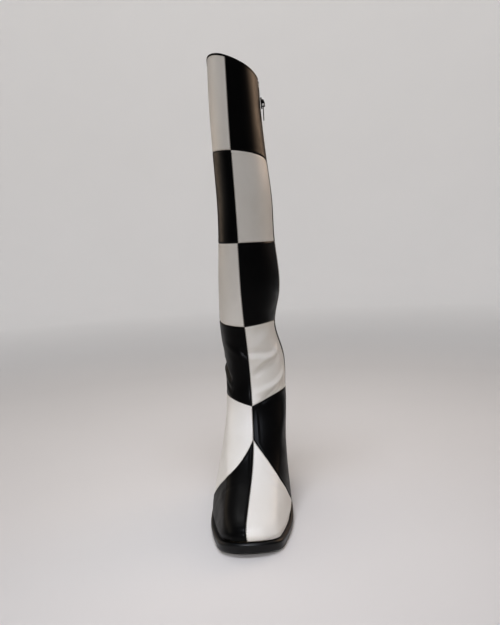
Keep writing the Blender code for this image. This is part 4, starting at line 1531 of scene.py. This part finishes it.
right = Vector((math.cos(CAMERA_TURN), math.sin(CAMERA_TURN), 0))
ahead = Vector((-math.sin(CAMERA_TURN), math.cos(CAMERA_TURN), 0))
forward = ahead * math.cos(CAMERA_PITCH) - Vector((0, 0, math.sin(CAMERA_PITCH)))
up = right.cross(forward)
rolled_right = right * math.cos(CAMERA_ROLL) + up * math.sin(CAMERA_ROLL)
rolled_up = up * math.cos(CAMERA_ROLL) - right * math.sin(CAMERA_ROLL)
camera_data = bpy.data.cameras.new("front_camera")
camera_data.sensor_width = SENSOR_MM
camera_data.lens = FOCAL_PIXELS * SENSOR_MM / IMAGE_HEIGHT
camera = bpy.data.objects.new("front_camera", camera_data)
bpy.context.scene.collection.objects.link(camera)
turn = Matrix((rolled_right, rolled_up, -forward)).transposed()
camera.matrix_world = Matrix.Translation(CAMERA_PLACE) @ turn.to_4x4()
bpy.context.scene.camera = camera
print("lens", round(camera_data.lens, 1), "mm")

# %% Floor and backdrop
FLOOR_RADIUS, SWEEP_RADIUS, BACKDROP_TOP = 2.1, 0.7, 2.8
SWEEP_STEPS, ROUND_STEPS = 16, 96
sweep = []
for step in range(SWEEP_STEPS + 1):
    angle = 0.5 * math.pi * step / SWEEP_STEPS
    sweep.append((FLOOR_RADIUS + SWEEP_RADIUS * math.sin(angle), SWEEP_RADIUS * (1 - math.cos(angle))))
STAGE = {
    "floor": [(0.0, 0.0), (FLOOR_RADIUS, 0.0)],
    "backdrop": [*sweep, (FLOOR_RADIUS + SWEEP_RADIUS, BACKDROP_TOP)],
}
# The paper glows more with its distance from the middle: not at all within GLOW_START, fully from the
# floor's rim on, so the far floor glows as well as the wall.
WALL_GLOW, GLOW_START = 0.21, 0.8
PAPER_CLOUDS_PER_METRE = 3.0
# Rolled paper is matt and not quite even in tone, which the eye reads as a plain quiet ground.
paper, paper_tree, paper_shader = new_material(
    "matt_paper_sweep", {"Roughness": 0.9, "Emission Color": linear("#f6f7fa")}
)
paper_place = add_node(paper_tree, "ShaderNodeTexCoord").outputs["Object"]
paper_cloud = add_node(
    paper_tree, "ShaderNodeTexNoise", {"Scale": PAPER_CLOUDS_PER_METRE}, {"Vector": paper_place}
)
paper_tone = add_node(
    paper_tree,
    "ShaderNodeMix",
    {"data_type": "RGBA", 6: linear("#d0ccc7"), 7: linear("#d4d0cb")},
    {0: paper_cloud.outputs["Fac"]},
)
paper_tree.links.new(paper_tone.outputs[2], paper_shader.inputs["Base Color"])
paper_reach = add_node(
    paper_tree, "ShaderNodeVectorMath", {"operation": "LENGTH"}, {"Vector": paper_place}
)
paper_glow = add_node(
    paper_tree,
    "ShaderNodeMapRange",
    {"From Min": GLOW_START, "From Max": FLOOR_RADIUS, "To Min": 0.0, "To Max": WALL_GLOW},
    {"Value": paper_reach.outputs["Value"]},
)
paper_tree.links.new(paper_glow.outputs["Result"], paper_shader.inputs["Emission Strength"])
turns = np.linspace(0, 2 * math.pi, ROUND_STEPS + 1)
for name, profile in STAGE.items():
    grid = [[(r * math.cos(a), r * math.sin(a), z) for a in turns] for r, z in profile]
    grid = np.array(grid) / MM
    towards_boot = np.array([0.0, 0.0, 1.0 / MM]) - grid
    piece = bpy.data.objects.new(name, sheet_mesh(name, grid, towards_boot))
    piece.data.materials.append(paper)
    bpy.context.scene.collection.objects.link(piece)
    print(name, len(piece.data.polygons), "faces")
bpy.data.objects["backdrop"].visible_glossy = False

# %% Lights
Light = namedtuple("Light", "name place target width height watts spread colour")
LIGHTS = (
    Light("overhead sheet", (-0.1, -0.62, 2.45), (0.0, -0.15, 0.1), 1.2, 0.8, 31.0, 180, "#ebf1ff"),
    Light("toe card", (-0.05, -0.9, 0.4), (0.0, -0.2, 0.05), 0.5, 0.12, 0.3, 40, "#f4f6ff"),
    Light("medial rim", (1.0, 1.15, 0.9), (0.0, 0.0, 0.4), 1.3, 0.7, 1.2, 70, "#ffdcbc"),
    Light("lateral wall", (-1.45, 0.5, 0.8), (0.0, 0.0, 0.35), 1.6, 0.8, 0.65, 70, "#fff3e4"),
    Light("lateral rim", (-1.0, 1.15, 0.5), (0.0, 0.0, 0.35), 0.9, 0.5, 0.2, 70, "#ffe4c8"),
    Light("back fill", (-0.3, 1.3, 1.6), (0.0, 0.0, 0.25), 0.9, 0.5, 0.8, 70, "#ffffff"),
    Light("backdrop light", (0.0, 1.0, 2.5), (0.0, 2.8, 0.7), 2.4, 0.5, 15.0, 180, "#ffffff"),
)


def add_light(row):
    data = bpy.data.lights.new(row.name, "AREA")
    data.shape = "RECTANGLE"
    data.size = row.width
    data.size_y = row.height
    data.energy = row.watts
    data.color = linear(row.colour)[:3]
    data.spread = math.radians(row.spread)
    made = bpy.data.objects.new(row.name, data)
    made.location = row.place
    aim = Vector(row.target) - Vector(row.place)
    made.rotation_euler = aim.to_track_quat("-Z", "Y").to_euler()
    made.visible_camera = False
    bpy.context.scene.collection.objects.link(made)


for row in LIGHTS:
    add_light(row)
DISPLAY_GAMMA = 0.85
WORLD_COLOUR, WORLD_STRENGTH = "#b9bcc2", 0.15
world = bpy.data.worlds.new("studio")
world.use_nodes = True
background = world.node_tree.nodes["Background"]
background.inputs["Color"].default_value = linear(WORLD_COLOUR)
background.inputs["Strength"].default_value = WORLD_STRENGTH
bpy.context.scene.world = world
bpy.context.scene.view_settings.view_transform = "Standard"
bpy.context.scene.view_settings.gamma = DISPLAY_GAMMA
print(len(LIGHTS), "lights")
